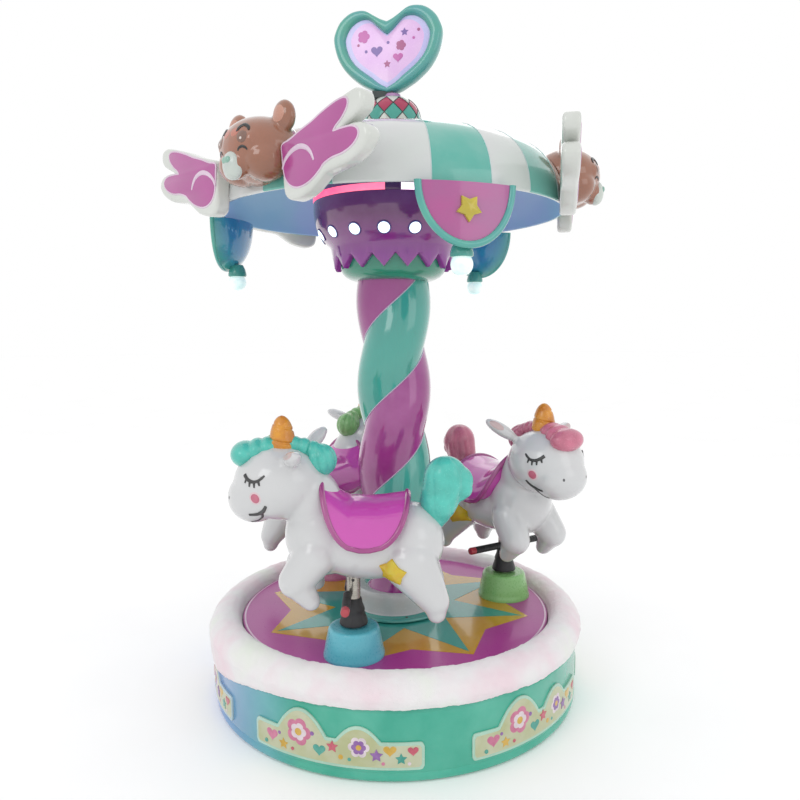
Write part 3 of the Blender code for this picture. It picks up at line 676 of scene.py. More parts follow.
def make_foot():
    white = paint("collar_white", colour("white"), rough=0.25)
    teal = paint("foot_teal", colour("deck_teal"), rough=0.2, coat=0.8)
    profile = mm(0, 342, 127.5, 342, 133, 340.8, 136.5, 336.5, 138.5, 329, 139.8, 318, 140, 300, 140.2, 276,
                 141.5, 272.5, 144, 271.2, 172, 270.8, 176, 269.2, 178, 266.2, 178, 262.7, 121, 262.7,
                 121, 200.3, 0, 200.3)
    form = lathe(profile, 128)
    picks = [1 if max(form[0][i].z for i in face) <= 0.2725 and min(math.hypot(*form[0][i].xy) for i in face) > 0.12
             else 0 for face in form[1]]
    piece("foot_collar", form, [white, teal], "base", ["column_foot"], picks=picks)
    dark = paint("screw_dark", linear("23403c"), rough=0.5, coat=0.0)

    def top(u, v, h):
        return Vector((u, v, 0.2709 + h))

    screws = [stamp(top, *at(phi, 0.157, 0.0).xy, disc(0.0055, count=16), 0.0008) for phi in (14.0, 134.0, 254.0)]
    piece("foot_screws", joined(screws), [dark], "base")
    groove = [bar([at(a * 5.0, 0.168, 0.2708) for a in range(72)], Vector((0, 0, 1)), 0.0011, closed=True)]
    piece("foot_line", joined(groove), [paint("foot_line", linear("2f8f84"), rough=0.3)], "base")


def strand(side, flat, steps=200, arc=28):
    """One strand of the column: a round-backed section turned as it climbs."""
    low, high, pitch = 0.3423, 1.374, 0.566
    edge = math.acos((flat - 0.0225) / 0.1025)
    section = []
    for i in range(arc + 1):
        a = -edge + 2.0 * edge * i / arc
        section.append(Vector((0.0225 + 0.1025 * math.cos(a), 0.1025 * math.sin(a), 0.0)))
    n = len(section)
    verts, faces = [], []
    for k in range(steps + 1):
        z = low + (high - low) * k / steps
        turn = Matrix.Rotation(2.0 * math.pi * (z - 1.019) / pitch + math.radians(side), 4, "Z")
        verts += [turn @ p + Vector((0.0, 0.0, z)) for p in section]
    faces += grid(steps + 1, n)
    faces.append(list(range(n)))
    faces.append([steps * n + i for i in range(n)])
    return verts, faces


def make_column():
    # The magenta strand darkens towards its top: painted shade under the bowl.
    magenta = spray("strand_magenta", colour("magenta"), shade(colour("magenta"), 0.62), "Z", 1.18, 1.40,
                    rough=0.14, coat=1.0, relief=0.05)
    teal = paint("strand_teal", colour("teal"), shade(colour("teal"), 0.92), rough=0.14, coat=1.0, relief=0.05)
    piece("strand_pink", strand(0.0, 0.0), [magenta], "base", ["column_strand_pink"], sharp=60.0)
    piece("strand_green", strand(180.0, 0.0), [teal], "base", ["column_strand_teal"], sharp=60.0)
    seams = []
    for side in (90.0, 270.0):
        path, ups = [], []
        for k in range(221):
            z = 0.3435 + (1.373 - 0.3435) * k / 220
            a = 2.0 * math.pi * (z - 1.019) / 0.566 + math.radians(side)
            out = Vector((math.cos(a), math.sin(a), 0.0))
            path.append(out * 0.1003 + Vector((0.0, 0.0, z)))
            ups.append(out)
        seams.append(bar(path, ups, sizes().seam, sides=6))
    piece("strand_seams", joined(seams), [paint("seam_pale", linear("d9c6e2"), rough=0.3)], "base")


# Drum

def tooth(phi):
    part = ((phi - TOOTH_PHI) * TEETH / 360.0) % 1.0
    return abs(2.0 * part - 1.0)


def drum_radius(z):
    table = mm(1410, 197, 1482, 206, 1504, 229, 1543, 253, 1590, 262, 1625, 261, 1646.5, 257.5, 1690, 245,
               1788, 160)
    for (z0, r0), (z1, r1) in zip(table, table[1:]):
        if z <= z1:
            return r0 + (r1 - r0) * (z - z0) / (z1 - z0)
    return table[-1][1]


def make_drum():
    bowl = mm(0, 1449.5, 177, 1449.5, 176.8, 1430, 174.5, 1412, 168, 1398, 157, 1387, 143, 1379.5,
              128, 1374.3, 0, 1374.3)
    mat = paint("bowl_teal", colour("bowl"), shade(colour("bowl"), 0.85), rough=0.18, coat=0.8)
    piece("bowl", lathe(bowl, 128), [mat], "base", ["collar_bowl"])
    shell = mm(0, 1788, 160, 1788, 205, 1745, 236, 1704, 250, 1672, 257.5, 1646.8, 252.5, 1646.5,
               252.5, 1625.5, 261, 1625.2, 262.2, 1606, 261.8, 1588, 258.5, 1564, 253, 1543, 244, 1524,
               232, 1507, 220, 1494, 209, 1484, 206, 1478, 202, 1450, 197.5, 1413.5, 196, 1411, 192, 1408.2,
               188, 1408, 177.6, 1408.5, 177.6, 1450, 0, 1450)

    def zigzag(v):
        if v.z < 1.4141 and math.hypot(v.x, v.y) > 0.17:
            v.z += 0.041 * (1.0 - tooth(phi_of(v)))
        return v

    purple = spray("drum_purple", colour("purple"), linear("8a2f8f"), "Z", 1.56, 1.44, rough=0.15, coat=1.0,
                   relief=0.05)
    angles = [TOOTH_PHI + 360.0 * i / 256 for i in range(256)]
    piece("drum_shell", lathe(shell, angles=angles, warp=zigzag), [purple], "base", ["drum"], sharp=50.0)
    # Light strip with one pale stretch between two dark ends
    red = paint("strip_red", linear("ff4f7c"), linear("ff7a97"), rough=0.3, glow=1.6)
    pale = paint("strip_pale", linear("fff0fb"), linear("ffdff4"), rough=0.3, glow=1.8)
    dark = paint("strip_dark", linear("5d1d5f"), rough=0.2)
    ring = lathe(mm(253, 1646.2, 261.2, 1646, 262.8, 1641, 262.8, 1631, 261.2, 1626.2,
                    253, 1626), 240, closed=True)
    picks = []
    for face in ring[1]:
        phi = phi_of(sum((ring[0][i] for i in face), Vector()) / len(face))
        near = min((0, 120, 240), key=lambda s: abs((phi - s + 180.0) % 360.0 - 180.0))
        off = (phi - near + 180.0) % 360.0 - 180.0
        picks.append(1 if 5.6 < off < 15.2 else 2 if -4.0 < off < 30.0 else 0)
    piece("light_strip", ring, [red, pale, dark], "base", ["led_ring"], picks=picks)
    glow = paint("lamp_glow", linear("e9fbff"), linear("cfeaff"), rough=0.3, glow=2.2, cloud=60.0)
    rim = paint("lamp_rim", linear("4b2a86"), rough=0.25)
    r = sizes().lamp
    lamps, rims = [], []
    for k in range(16):
        phi = -5.9 + 22.5 * k
        z = 1.520
        slope = (drum_radius(z + 0.01) - drum_radius(z - 0.01)) / 0.02
        out = at(phi, 1.0, 0.0)
        normal = (out - Vector((0.0, 0.0, slope))).normalized()
        up = Vector((0.0, 0.0, 1.0)) - normal * normal.z
        up.normalize()
        side = up.cross(normal)
        mid = at(phi, drum_radius(z) + 0.0005, z)

        def place(u, v, h):
            return mid + side * u + up * v + normal * h

        lamps.append(stamp(place, 0.0, 0.0, disc(r), 0.0035, dome=0.006))
        ring = [place(r * 1.06 * math.cos(a), r * 1.06 * math.sin(a), 0.001)
                for a in [2.0 * math.pi * i / 32 for i in range(32)]]
        rims.append(bar(ring, normal, 0.0030, 0.9, sides=8, closed=True))
    piece("drum_lamps", joined(lamps), [glow], "base")
    piece("drum_lamp_rims", joined(rims), [rim], "base")


# Canopy

GORES = ((-15.4, 10.7, 1), (10.7, 28.1, 0), (28.1, 42.6, 1), (42.6, 60.0, 0), (60.0, 82.0, 1), (82.0, 104.6, 0))


def make_canopy():
    edges = [start + 120.0 * k for k in range(3) for start, _, _ in GORES]
    angles = sorted({round(a % 360.0, 3) for a in edges + [1.5 * i + 0.35 for i in range(240)]})
    shares = [math.sin(math.radians(90.0 * k / 22)) for k in range(23)]
    outer = [(CANOPY_R * s, dome_height(CANOPY_R * s)) for s in shares]
    t = 0.012
    inner = [((CANOPY_R - t) * s, dome_height(CANOPY_R * s) - t * (1.0 - s ** 6) - 0.0001) for s in shares]
    inner[-1] = (CANOPY_R - t, CANOPY_Z + 0.006)
    lip = [(CANOPY_R, CANOPY_Z + 0.0035), (CANOPY_R - 0.0015, CANOPY_Z + 0.001), (CANOPY_R - 0.004, CANOPY_Z),
           (CANOPY_R - t + 0.002, CANOPY_Z), (CANOPY_R - t, CANOPY_Z + 0.002)]
    profile = outer + lip + inner[::-1]
    form = lathe(profile, angles=angles)
    picks = []
    rows = len(outer) + 2
    per = len(angles)
    for face in form[1]:
        row = min(face)
        mid = sum((form[0][i] for i in face), Vector()) / len(face)
        if min(i for i in face) > rows * per:
            picks.append(2)
            continue
        phi = (phi_of(mid) + 15.4) % 120.0 - 15.4
        if math.hypot(mid.x, mid.y) < 0.02:
            phi = (phi_of(form[0][max(face)]) + 15.4) % 120.0 - 15.4
        picks.append(next((kind for a, b, kind in GORES if a <= phi < b), 0))
    teal = paint("gore_teal", colour("teal"), shade(colour("teal"), 1.12), rough=0.16, coat=0.9, relief=0.06)
    white = paint("gore_white", colour("white"), linear("dfe6e2"), rough=0.2, coat=0.8, relief=0.06)
    # The underside glows a little though no lamp lights it: painted light.
    inside = paint("canopy_inside", colour("inside"), linear("86b4d2"), rough=0.35, coat=0.2, glow=0.30, cloud=3.0)
    piece("canopy_dome", form, [teal, white, inside], "base", ["canopy_shell"], picks=picks, sharp=50.0)
    lines = []
    for k in range(3):
        for start, _, _ in GORES:
            path = [at(start + 120.0 * k, r + 0.0002, z + 0.0002) for r, z in outer[2:] + lip[:1]]
            lines.append(bar(path, Vector((0.0, 0.0, 1.0)) + at(start + 120.0 * k, 0.6, 0.0), 0.0011, sides=6))
    piece("gore_seams", joined(lines), [paint("gore_seam", linear("cfe9ea"), rough=0.3)], "base")


def make_cap():
    line = smooth_line(mm(96, 1801.3, 96, 1850, 95.5, 1880, 91.5, 1910, 79, 1938, 56, 1957,
                          34, 1964), 8, closed=False)
    spans = [0.0]
    for p, q in zip(line, line[1:]):
        spans.append(spans[-1] + (q - p).length)

    def on_cap(phi, s, lift=0.0):
        d = min(max(s, 0.0), 1.0) * spans[-1]
        i = max(k for k in range(len(spans) - 1) if spans[k] <= d + 1e-9)
        p = line[i].lerp(line[i + 1], (d - spans[i]) / (spans[i + 1] - spans[i]))
        return at(phi, p.x + lift * 0.8, p.y + lift * 0.6)

    count, rows, fine = 10, 6, 5
    verts, faces, picks, bars = [], [], [], []
    for j in range(-1, rows):
        for i in range(count):
            left = (i + (j % 2) * 0.5) * 360.0 / count
            mid, high, low = left + 180.0 / count, (j + 2) / rows, j / rows
            start = len(verts)
            corners = ((mid, low), (left + 360.0 / count, (j + 1) / rows), (mid, high), (left, (j + 1) / rows))
            for a in range(fine + 1):
                for b in range(fine + 1):
                    u, v = a / fine, b / fine
                    phi = (corners[0][0] * (1 - u) * (1 - v) + corners[1][0] * u * (1 - v)
                           + corners[2][0] * u * v + corners[3][0] * (1 - u) * v)
                    s = (corners[0][1] * (1 - u) * (1 - v) + corners[1][1] * u * (1 - v)
                         + corners[2][1] * u * v + corners[3][1] * (1 - u) * v)
                    verts.append(on_cap(phi - 15.0, s))
            for a in range(fine):
                for b in range(fine):
                    n = start + a * (fine + 1) + b
                    faces.append([n, n + 1, n + fine + 2, n + fine + 1])
                    picks.append((j + 1) % 3)
            for phi0, phi1 in ((mid, left), (mid, left + 360.0 / count)):
                if 0 <= j < rows - 1:
                    path = [on_cap(phi0 + (phi1 - phi0) * k / 5 - 15.0, low + k / 5 / rows, 0.0004) for k in range(6)]
                    bars.append(bar(path, at(mid, 1.0, 0.6), 0.0016, 0.6, sides=6))
    bm = bmesh.new()
    made = [bm.verts.new(v) for v in verts]
    for loop, pick in zip(faces, picks):
        try:
            face = bm.faces.new([made[i] for i in loop])
        except ValueError:
            continue
        face.material_index = pick
    bmesh.ops.remove_doubles(bm, verts=bm.verts, dist=0.0002)
    bmesh.ops.dissolve_degenerate(bm, edges=bm.edges, dist=0.00005)
    bmesh.ops.recalc_face_normals(bm, faces=bm.faces)
    mesh = bpy.data.meshes.new("cap_skin")
    bm.to_mesh(mesh)
    bm.free()
    for mat in (paint("cap_teal", colour("teal"), rough=0.18), paint("cap_cherry", colour("cherry"), rough=0.15),
                paint("cap_cream", linear("e9ece4"), rough=0.2)):
        mesh.materials.append(mat)
    mount("cap_skin", mesh, "base", ["cap_dome"])
    piece("cap_lines", joined(bars), [paint("cap_line", linear("241a22"), rough=0.4)], "base")
    lilac = paint("neck_lilac", linear("c58fc8"), rough=0.25)
    neck = mm(0, 1976.5, 26, 1976.5, 29, 1975, 31, 1970, 33.5, 1966, 34, 1963, 0, 1960)
    piece("cap_neck", lathe(neck, 64), [lilac], "base")
    core = mm(0, 1960, 34, 1960, 60, 1950, 88, 1905, 93, 1850, 93, 1801.5, 0, 1801.5)
    piece("cap_core", lathe(core, 48), [paint("cap_core", linear("30222c"), rough=0.5)], "base")


# Right half of the heart, from the notch to the bottom, in shares of its half width and height
HEART = ((0.0, 0.854), (0.110, 0.882), (0.229, 0.927), (0.397, 0.991), (0.558, 1.0), (0.716, 0.971), (0.870, 0.890),
         (0.957, 0.792), (1.0, 0.683), (0.959, 0.527), (0.880, 0.399), (0.744, 0.274), (0.539, 0.154),
         (0.369, 0.085), (0.190, 0.028), (0.0, 0.0))


def heart_line(wide, high, cleft, lift, per=4):
    right = []
    for across, up in HEART:
        notch = (HEART[0][1] - cleft) * max(0.0, 1.0 - across / 0.45)
        right.append((across * wide / 2.0, lift + (up - notch) * high))
    line = smooth_line(right, per, closed=False)
    return line + [Vector((-p.x, p.y)) for p in reversed(line[1:-1])]


def make_heart():
    stand = (shifted(-0.011, 0.0, 1.977) @ turned(-13.0)
             @ turned(90.0, "X"))
    outer = heart_line(0.362, 0.266, 0.854, 0.0)
    inner = heart_line(0.276, 0.192, 0.73, 0.043)
    n = len(outer)
    sides = 22
    verts, faces = [], []
    for p, q in zip(outer, inner):
        for k in range(sides):
            a = 2.0 * math.pi * k / sides
            c, s = math.cos(a), math.sin(a)
            c = math.copysign(abs(c) ** 0.75, c)
            s = math.copysign(abs(s) ** 0.75, s)
            flat = q.lerp(p, 0.5 + 0.5 * c)
            verts.append(Vector((flat.x, flat.y, 0.030 * s)))
    faces += grid(n, sides, closed=True)
    teal = paint("heart_teal", colour("heart_teal"), linear("5bb6a0"), rough=0.22, coat=0.8, cloud=9.0)
    piece("heart_ring", moved((verts, faces), stand), [teal], "base", ["heart_frame"], sharp=180.0)
    # Glowing face, a little crowned on both sides
    middle = Vector((0.0, 0.148))
    layers = (1.02, 0.97, 0.88, 0.75, 0.58, 0.38, 0.18)
    verts, faces, picks = [], [], []
    for s in (1.0, -1.0):
        start = len(verts)
        for share in layers:
            for q in inner:
                flat = middle.lerp(q, share)
                verts.append(Vector((flat.x, flat.y, s * (0.014 + 0.004 * (1.0 - share ** 2)))))
        verts.append(Vector((middle.x, middle.y, s * 0.018)))
        for row in range(len(layers) - 1):
            for i in range(n):
                j = (i + 1) % n
                a = start + row * n
                faces.append([a + i, a + j, a + n + j, a + n + i])
                picks.append(0 if row < 2 else 1)
        a = start + (len(layers) - 1) * n
        for i in range(n):
            faces.append([a + i, a + (i + 1) % n, len(verts) - 1])
            picks.append(1)
    half = len(verts) // 2
    for i in range(n):
        j = (i + 1) % n
        faces.append([i, j, half + j, half + i])
        picks.append(0)
    edge = paint("face_lilac", linear("c3bdf2"), linear("d0cdf8"), rough=0.25, coat=0.6, glow=0.20, cloud=12.0)
    glow = paint("face_glow", linear("efc9f2"), linear("e6b8ee"), rough=0.25, coat=0.6, glow=0.20, cloud=9.0)
    piece("heart_glass", moved((verts, faces), stand), [edge, glow], "base", ["heart_face"], picks=picks)
    marks = {"mark_pink": ("e06fc6", [(-0.078, 0.183, blossom(0.021)), (0.036, 0.108, small_heart(0.017)),
                                      (0.088, 0.166, disc(0.0045))]),
             "mark_violet": ("8d6fc0", [(0.058, 0.186, star(0.014)), (-0.034, 0.132, small_heart(0.020)),
                                        (-0.070, 0.136, disc(0.005)), (0.004, 0.158, disc(0.005))]),
             "mark_rose": ("c76aa0", [(0.0, 0.092, star(0.013)), (0.046, 0.146, blossom(0.017)),
                                      (-0.096, 0.158, disc(0.0045)), (0.104, 0.190, disc(0.005))])}
    for name, (code, shapes) in marks.items():
        forms = []
        for s in (1.0, -1.0):
            def place(u, v, h):
                d = (Vector((u, v)) - middle).length / 0.13
                return Vector((u, v, s * (0.0172 - 0.003 * d * d + h)))
            forms += [stamp(place, s * u, v, outline, 0.0014) for u, v, outline in shapes]
        piece(name, moved(joined(forms), stand), [paint(name, linear(code), rough=0.35, coat=0.3)], "base")
    dark = paint("bracket_dark", linear("1e2f30"), rough=0.4, coat=0.2)
    clamp = plate("sign_bracket", mm(-30, -11, 30, -11, 34, 12, -34, 12), 0.024, 0.003)
    clamp.transform(shifted(-0.030, 0.0, 1.972) @ turned(90.0, "X"))
    clamp.materials.append(dark)
    mount("sign_bracket", clamp, "base")


# Bears

# Outline of the right wing's white plate, then of its painted field, seen from outside
WING = mm(152, 1692, 200, 1707, 250, 1722, 300, 1741, 350, 1756, 385, 1765, 410, 1769, 430, 1761, 436, 1742,
          428, 1720, 398, 1703, 374, 1691, 402, 1693, 434, 1687, 450, 1669, 450, 1650, 428, 1627, 390, 1608,
          350, 1600, 303, 1592, 276, 1576, 247, 1557, 214, 1546, 182, 1542, 156, 1552, 146, 1578, 144, 1630,
          144, 1665)
FIELD = mm(150, 1682, 180, 1690, 220, 1705, 262, 1718, 300, 1733, 345, 1747, 375, 1751, 387, 1744, 384, 1728,
           366, 1708, 346, 1694, 338, 1682, 362, 1683, 400, 1682, 419, 1672, 419, 1657, 400, 1640, 368, 1629,
           335, 1625, 304, 1615, 288, 1602, 262, 1585, 232, 1574, 202, 1572, 176, 1582, 160, 1601, 153, 1630,
           150, 1660)


def make_wings():
    right = [(p.x, p.y) for p in smooth_line(WING, 4)]
    inner = [(p.x, p.y) for p in smooth_line(FIELD, 4)]
    white = paint("wing_white", linear("e9ece7"), linear("dfe3dc"), rough=0.22, coat=0.7)
    pink = paint("wing_pink", colour("wing_pink"), shade(colour("wing_pink"), 0.9), rough=0.16, coat=1.0, cloud=10.0)
    pale = paint("wing_pale", linear("f3d7ee"), rough=0.25)
    curl = smooth_line(mm(150, 1622, 160, 1642, 184, 1660, 214, 1668, 241, 1662, 259, 1647,
                          270, 1626.5), 6, closed=False)
    bodies, fields, trims = [], [], []
    for s in (1.0, -1.0):
        outline = [(s * u, v) for u, v in right][::int(s)]
        painted = [(s * u, v) for u, v in inner][::int(s)]
        bodies.append(plate("wing", outline, WING_HALF, 0.011))
        field = plate("wing_field", painted, 0.0024, 0.0018)
        field.transform(shifted(0.0, 0.0, WING_HALF))
        fields.append(field)
        trim = plate("wing_trim", painted, 0.0016, 0.0008, -sizes().wing_edge)
        trim.transform(shifted(0.0, 0.0, WING_HALF - 0.0002))
        trims.append(trim)
    for k in range(3):
        place = facing(BEAR_PHI + 120.0 * k, WING_R)
        for tag, meshes, mat in (("wing", bodies, white), ("wing_field", fields, pink), ("wing_trim", trims, pale)):
            for side, mesh in zip("ab", meshes):
                if not mesh.materials:
                    mesh.materials.append(mat)
                obj = mount("%s_%d%s" % (tag, k + 1, side), mesh, "base", sharp=40.0, place=place)
                if tag == "wing" and side == "a":
                    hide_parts("bear_wings_%d" % (k + 1))
        forms = []
        for s in (1.0, -1.0):
            path = [Vector((s * p.x, p.y, WING_HALF + 0.0022)) for p in curl]
            forms.append(bar(path, Vector((0, 0, 1)), lambda t: 0.0022 + 0.0046 * math.sin(math.pi * t) ** 0.8,
                             0.45, sides=8))
        piece("wing_curls_%d" % (k + 1), joined(forms), [pale], "base", place=place)


def surface(mesh):
    """The mesh as a tree that rays can be cast at."""
    bm = bmesh.new()
    bm.from_mesh(mesh)
    tree = BVHTree.FromBMesh(bm)
    bm.free()
    return tree


def on_form(tree, centre, out, up):
    """place(u, v, h) on a modelled surface, met by a ray that runs in along out."""
    out = Vector(out).normalized()
    up = Vector(up)
    up = (up - out * up.dot(out)).normalized()
    side = up.cross(out)
    centre = Vector(centre)

    def place(u, v, h):
        p = centre + side * u + up * v
        hit, normal, _, _ = tree.ray_cast(p + out * 0.10, -out, 0.30)
        if hit is None:
            return p
        return hit + normal * h

    return place


def line_on(tree, centre, out, up, points, width, flat=0.45, lift=0.0006, per=6):
    """A painted line on a modelled surface."""
    place = on_form(tree, centre, out, up)
    flat_line = smooth_line(points, per, closed=False)
    path = [place(p.x, p.y, lift) for p in flat_line]
    ups = [(place(p.x, p.y, 0.01) - place(p.x, p.y, 0.0)).normalized() for p in flat_line]
    return bar(path, ups, width, flat)


def make_bears():
    balls = [ball((0.0, -BEAR_R, BEAR_Z), (0.116, 0.110, 0.090)),
             ball((0.0, -BEAR_R - 0.030, BEAR_Z + 0.002), (0.092, 0.078, 0.078)),
             ball((0.0, -BEAR_R - 0.086, BEAR_Z - 0.050), (0.040, 0.030, 0.036))]
    for s in (-1.0, 1.0):
        balls.append(ball((s * 0.097, -BEAR_R - 0.002, BEAR_Z + 0.075), (0.037, 0.024, 0.042)))
        balls.append(ball((s * 0.052, -BEAR_R - 0.030, BEAR_Z - 0.034), (0.062, 0.062, 0.055)))
        balls.append(ball((s * 0.055, -BEAR_R - 0.080, BEAR_Z + 0.008), (0.021, 0.018, 0.024)))
    mesh = fuse("bear_head", [ball(c + Vector((BEAR_SHIFT, 0.0, 0.0)), r, t) for c, r, t in balls], 0.0045, 5)
    for v in mesh.vertices:
        r = math.hypot(v.co.x, v.co.y)
        if r < CANOPY_R + 0.0006 and v.co.z < dome_height(r) + 0.0008:
            up = dome_height(min(r, CANOPY_R)) + 0.0008 - v.co.z
            share = min(1.0, max(0.0, (v.co.z - CANOPY_Z) / CANOPY_RISE))
            out = (CANOPY_R + 0.0008) * (1.0 - share ** 2) ** (1.0 / 6.0) - r
            if up < out or v.co.z < CANOPY_Z:
                v.co.z += up
            else:
                v.co.x *= (r + out) / r
                v.co.y *= (r + out) / r
    brown = paint("bear_brown", colour("bear_brown"), linear("9c6347"), rough=0.16, coat=1.0, cloud=9.0, relief=0.05)
    mesh.materials.append(brown)
    tree = surface(mesh)
    black = paint("bear_line", colour("black"), rough=0.3)
    front = (0.0, -1.0, 0.0)
    lines, brow_pink, bulges, glints, pads = [], [], [], [], []
    for s in (-1.0, 1.0):
        look = (s * 0.45, -1.0, 0.05)
        eye = (0.026 + s * 0.037, -0.63, 1.712)
        arch = mm(-18, 7, -13, 18, 0, 25, 13, 18, 18, 7)
        lines.append(line_on(tree, eye, look, (0, 0, 1), arch,
                             lambda t: 0.0022 + 0.0034 * math.sin(math.pi * t) ** 0.7))
        small = mm(-14, -42, -9, -36, 0, -33, 9, -36, 14, -42)
        lines.append(line_on(tree, eye, look, (0, 0, 1), small,
                             lambda t: 0.0012 + 0.0022 * math.sin(math.pi * t) ** 0.7))
        for forms, x, y, z, out, outline, lift, dome in (
                (bulges, 0.026 + s * 0.037, -0.63, 1.704, look, disc(0.016), 0.0006, 0.002),
                (glints, 0.026 + s * 0.035, -0.63, 1.699, look, disc(0.0036, count=14), 0.0032, 0.0008),
                (brow_pink, BEAR_SHIFT + s * 0.016, -0.655, 1.720, (s * 0.15, -1.0, 0.2), disc(0.013), 0.0005, 0.0),
                (pads, BEAR_SHIFT + s * 0.097, -0.575, 1.768, front, disc(0.022), 0.0006, 0.0)):
            forms.append(stamp(on_form(tree, (x, y, z), out, (0, 0, 1)), 0.0, 0.0, outline, lift, dome=dome))
    ears = paint("bear_ear", linear("c98a72"), linear("d6a08c"), rough=0.25)
    # Pink for two spots on the forehead between the eyes.
    cheek = paint("bear_blush", linear("d98378"), linear("c97f68"), rough=0.25, cloud=60.0)
    lid = paint("bear_lid", linear("8f6a5c"), rough=0.2)
    spark = paint("bear_glint", linear("f7e9e2"), rough=0.2)
    snout = paint("bear_snout", linear("dde5dc"), linear("cfd9d4"), rough=0.2, cloud=20.0)
    mint = paint("bear_nose", linear("9fc9b8"), linear("7db5a6"), rough=0.15, cloud=30.0)
    snout_mesh = fuse("bear_snout", [ball((BEAR_SHIFT, -BEAR_R - 0.101, BEAR_Z - 0.050), (0.031, 0.020, 0.036)),
                                     ball((BEAR_SHIFT, -BEAR_R - 0.096, BEAR_Z - 0.062), (0.035, 0.020, 0.026))],
                      0.004, 3)
    snout_mesh.materials.append(snout)
    nose_mesh = fuse("bear_nose", [ball((BEAR_SHIFT + x, -BEAR_R - 0.117, BEAR_Z - 0.040), (0.011, 0.007, 0.010))
                                   for x in (-0.006, 0.006)], 0.0025, 3)
    nose_mesh.materials.append(mint)
    for k in range(3):
        place = turned(BEAR_PHI + 120.0 * k)
        mount("bear_%d" % (k + 1), mesh, "base", ["bear_head_%d" % (k + 1)], sharp=180.0, place=place)
        for tag, forms, mat in (("bear_lines", lines, black), ("bear_blush", brow_pink, cheek), ("bear_lids", bulges, lid),
                                ("bear_glints", glints, spark), ("bear_ears", pads, ears)):
            piece("%s_%d" % (tag, k + 1), joined(forms), [mat], "base", place=place)
        mount("bear_snout_%d" % (k + 1), snout_mesh, "base", sharp=180.0, place=place)
        mount("bear_nose_%d" % (k + 1), nose_mesh, "base", sharp=180.0, place=place)


def make_pendants():
    top = 1.5852
    wide, deep, drop = 0.139, 0.085, 0.165
    count, rings = 48, 10

    def wall(u, v, h):
        """Point on the curved front, u along it and v down from the rim."""
        return at(math.degrees(math.asin(max(-1.0, min(1.0, u / PENDANT_R)))), PENDANT_R + h, top - v)

    verts, faces = [], []
    for layer in (0, 1):
        for j in range(rings + 1):
            s = j / rings
            for i in range(count + 1):
                a = math.pi * i / count
                u, v = wide * math.cos(a) * s, drop * math.sin(a) * s
                back = -deep * math.sqrt(max(0.0, 1.0 - s * s)) if layer else 0.0
                verts.append(wall(u, v, back - (0.0015 if s > 0.97 else 0.0)))
    per = (rings + 1) * (count + 1)
    for layer in (0, 1):
        faces += grid(rings + 1, count + 1, start=layer * per, wrap=False)
    ends = [j * (count + 1) for j in range(rings + 1)]
    for edge in (ends, [n + count for n in ends]):
        faces += [[a, b, per + b, per + a] for a, b in zip(edge, edge[1:])]
    bm = bmesh.new()
    made = [bm.verts.new(v) for v in verts]
    for loop in faces:
        if len({tuple(round(c, 5) for c in verts[i]) for i in loop}) > 2:
            bm.faces.new([made[i] for i in loop])
    bmesh.ops.remove_doubles(bm, verts=bm.verts, dist=0.0002)
    bmesh.ops.dissolve_degenerate(bm, edges=bm.edges, dist=0.00005)
    bmesh.ops.recalc_face_normals(bm, faces=bm.faces)
    pouch = bpy.data.meshes.new("pouch")
    bm.to_mesh(pouch)
    bm.free()
    pouch.materials.append(spray("pouch_teal", linear("46b2a2"), linear("2b86b4"), "Y", -0.585, -0.530, rough=0.18,
                                 coat=0.8))
    path = [wall(wide * 0.955 * math.cos(math.pi * i / 60), drop * 0.955 * math.sin(math.pi * i / 60), 0.0015)
            for i in range(61)]
    ups = [at(phi_of(p), 1.0, 0.0) for p in path]
    border = bar(path, ups, 0.0098, 0.85, sides=14)
    fan, loops = [wall(0.0, 0.0, 0.0012)], []
    for j in range(1, 9):
        fan += [wall(wide * 0.90 * math.cos(math.pi * i / 40) * j / 8, drop * 0.90 * math.sin(math.pi * i / 40) * j / 8,
                     0.0012) for i in range(41)]
    loops = [[0, 1 + i, 2 + i] for i in range(40)]
    for j in range(7):
        a = 1 + j * 41
        loops += [[a + i, a + 41 + i, a + 42 + i, a + 1 + i] for i in range(40)]
    puff = stamp(lambda u, v, h: wall(u, v, h + 0.001), 0.0, 0.066, star(0.037, 0.60, turn=90.0), 0.007, dome=0.006)
    pink = paint("pendant_pink", linear("c2529c"), linear("b0609c"), rough=0.18, coat=0.8)
    teal = paint("pendant_border", linear("55bba6"), linear("4aa9a9"), rough=0.18, coat=0.9)
    gold = paint("pendant_star", colour("gold"), linear("c8b52c"), rough=0.2, coat=0.8, cloud=20.0)
    glass = paint("globe_glow", linear("f2fffa"), linear("d5f5f4"), rough=0.2, glow=0.55, cloud=30.0)
    socket = paint("globe_socket", linear("3aa79a"), rough=0.25)
    bulb = mm(0, 1401, 23.5, 1401, 26.8, 1395, 29.5, 1387, 30, 1380, 28.6, 1371.5, 25, 1363.5, 18.5, 1356.5,
              9.5, 1352.7, 0, 1352)
    cup = mm(0, 1440, 20, 1440, 27.5, 1425, 31, 1410, 31, 1403, 28.5, 1400.5, 0, 1400.5)
    shift = shifted(0.0, -0.552, 0.0)
    for k, phi in enumerate(PENDANT_PHI):
        place = turned(phi)
        mount("pouch_%d" % (k + 1), pouch, "base", ["pendant_%d" % (k + 1)], 60.0, place, own_axes=True)
        piece("pendant_border_%d" % (k + 1), border, [teal], "base", place=place)
        piece("pendant_field_%d" % (k + 1), (fan, loops), [pink], "base", place=place)
        piece("pendant_star_%d" % (k + 1), puff, [gold], "base", place=place, sharp=25.0)
        piece("globe_%d" % (k + 1), moved(lathe(bulb, 40), shift), [glass], "base", place=place)
        piece("globe_socket_%d" % (k + 1), moved(lathe(cup, 40), shift), [socket], "base", place=place)


# Unicorns

# Each ear's middle and the way it leans, the right one first
EARS = (((0.118, -0.112, 0.880), (-0.060, -0.085, 0.066)), ((0.156, 0.114, 0.862), (-0.030, 0.100, 0.034)))


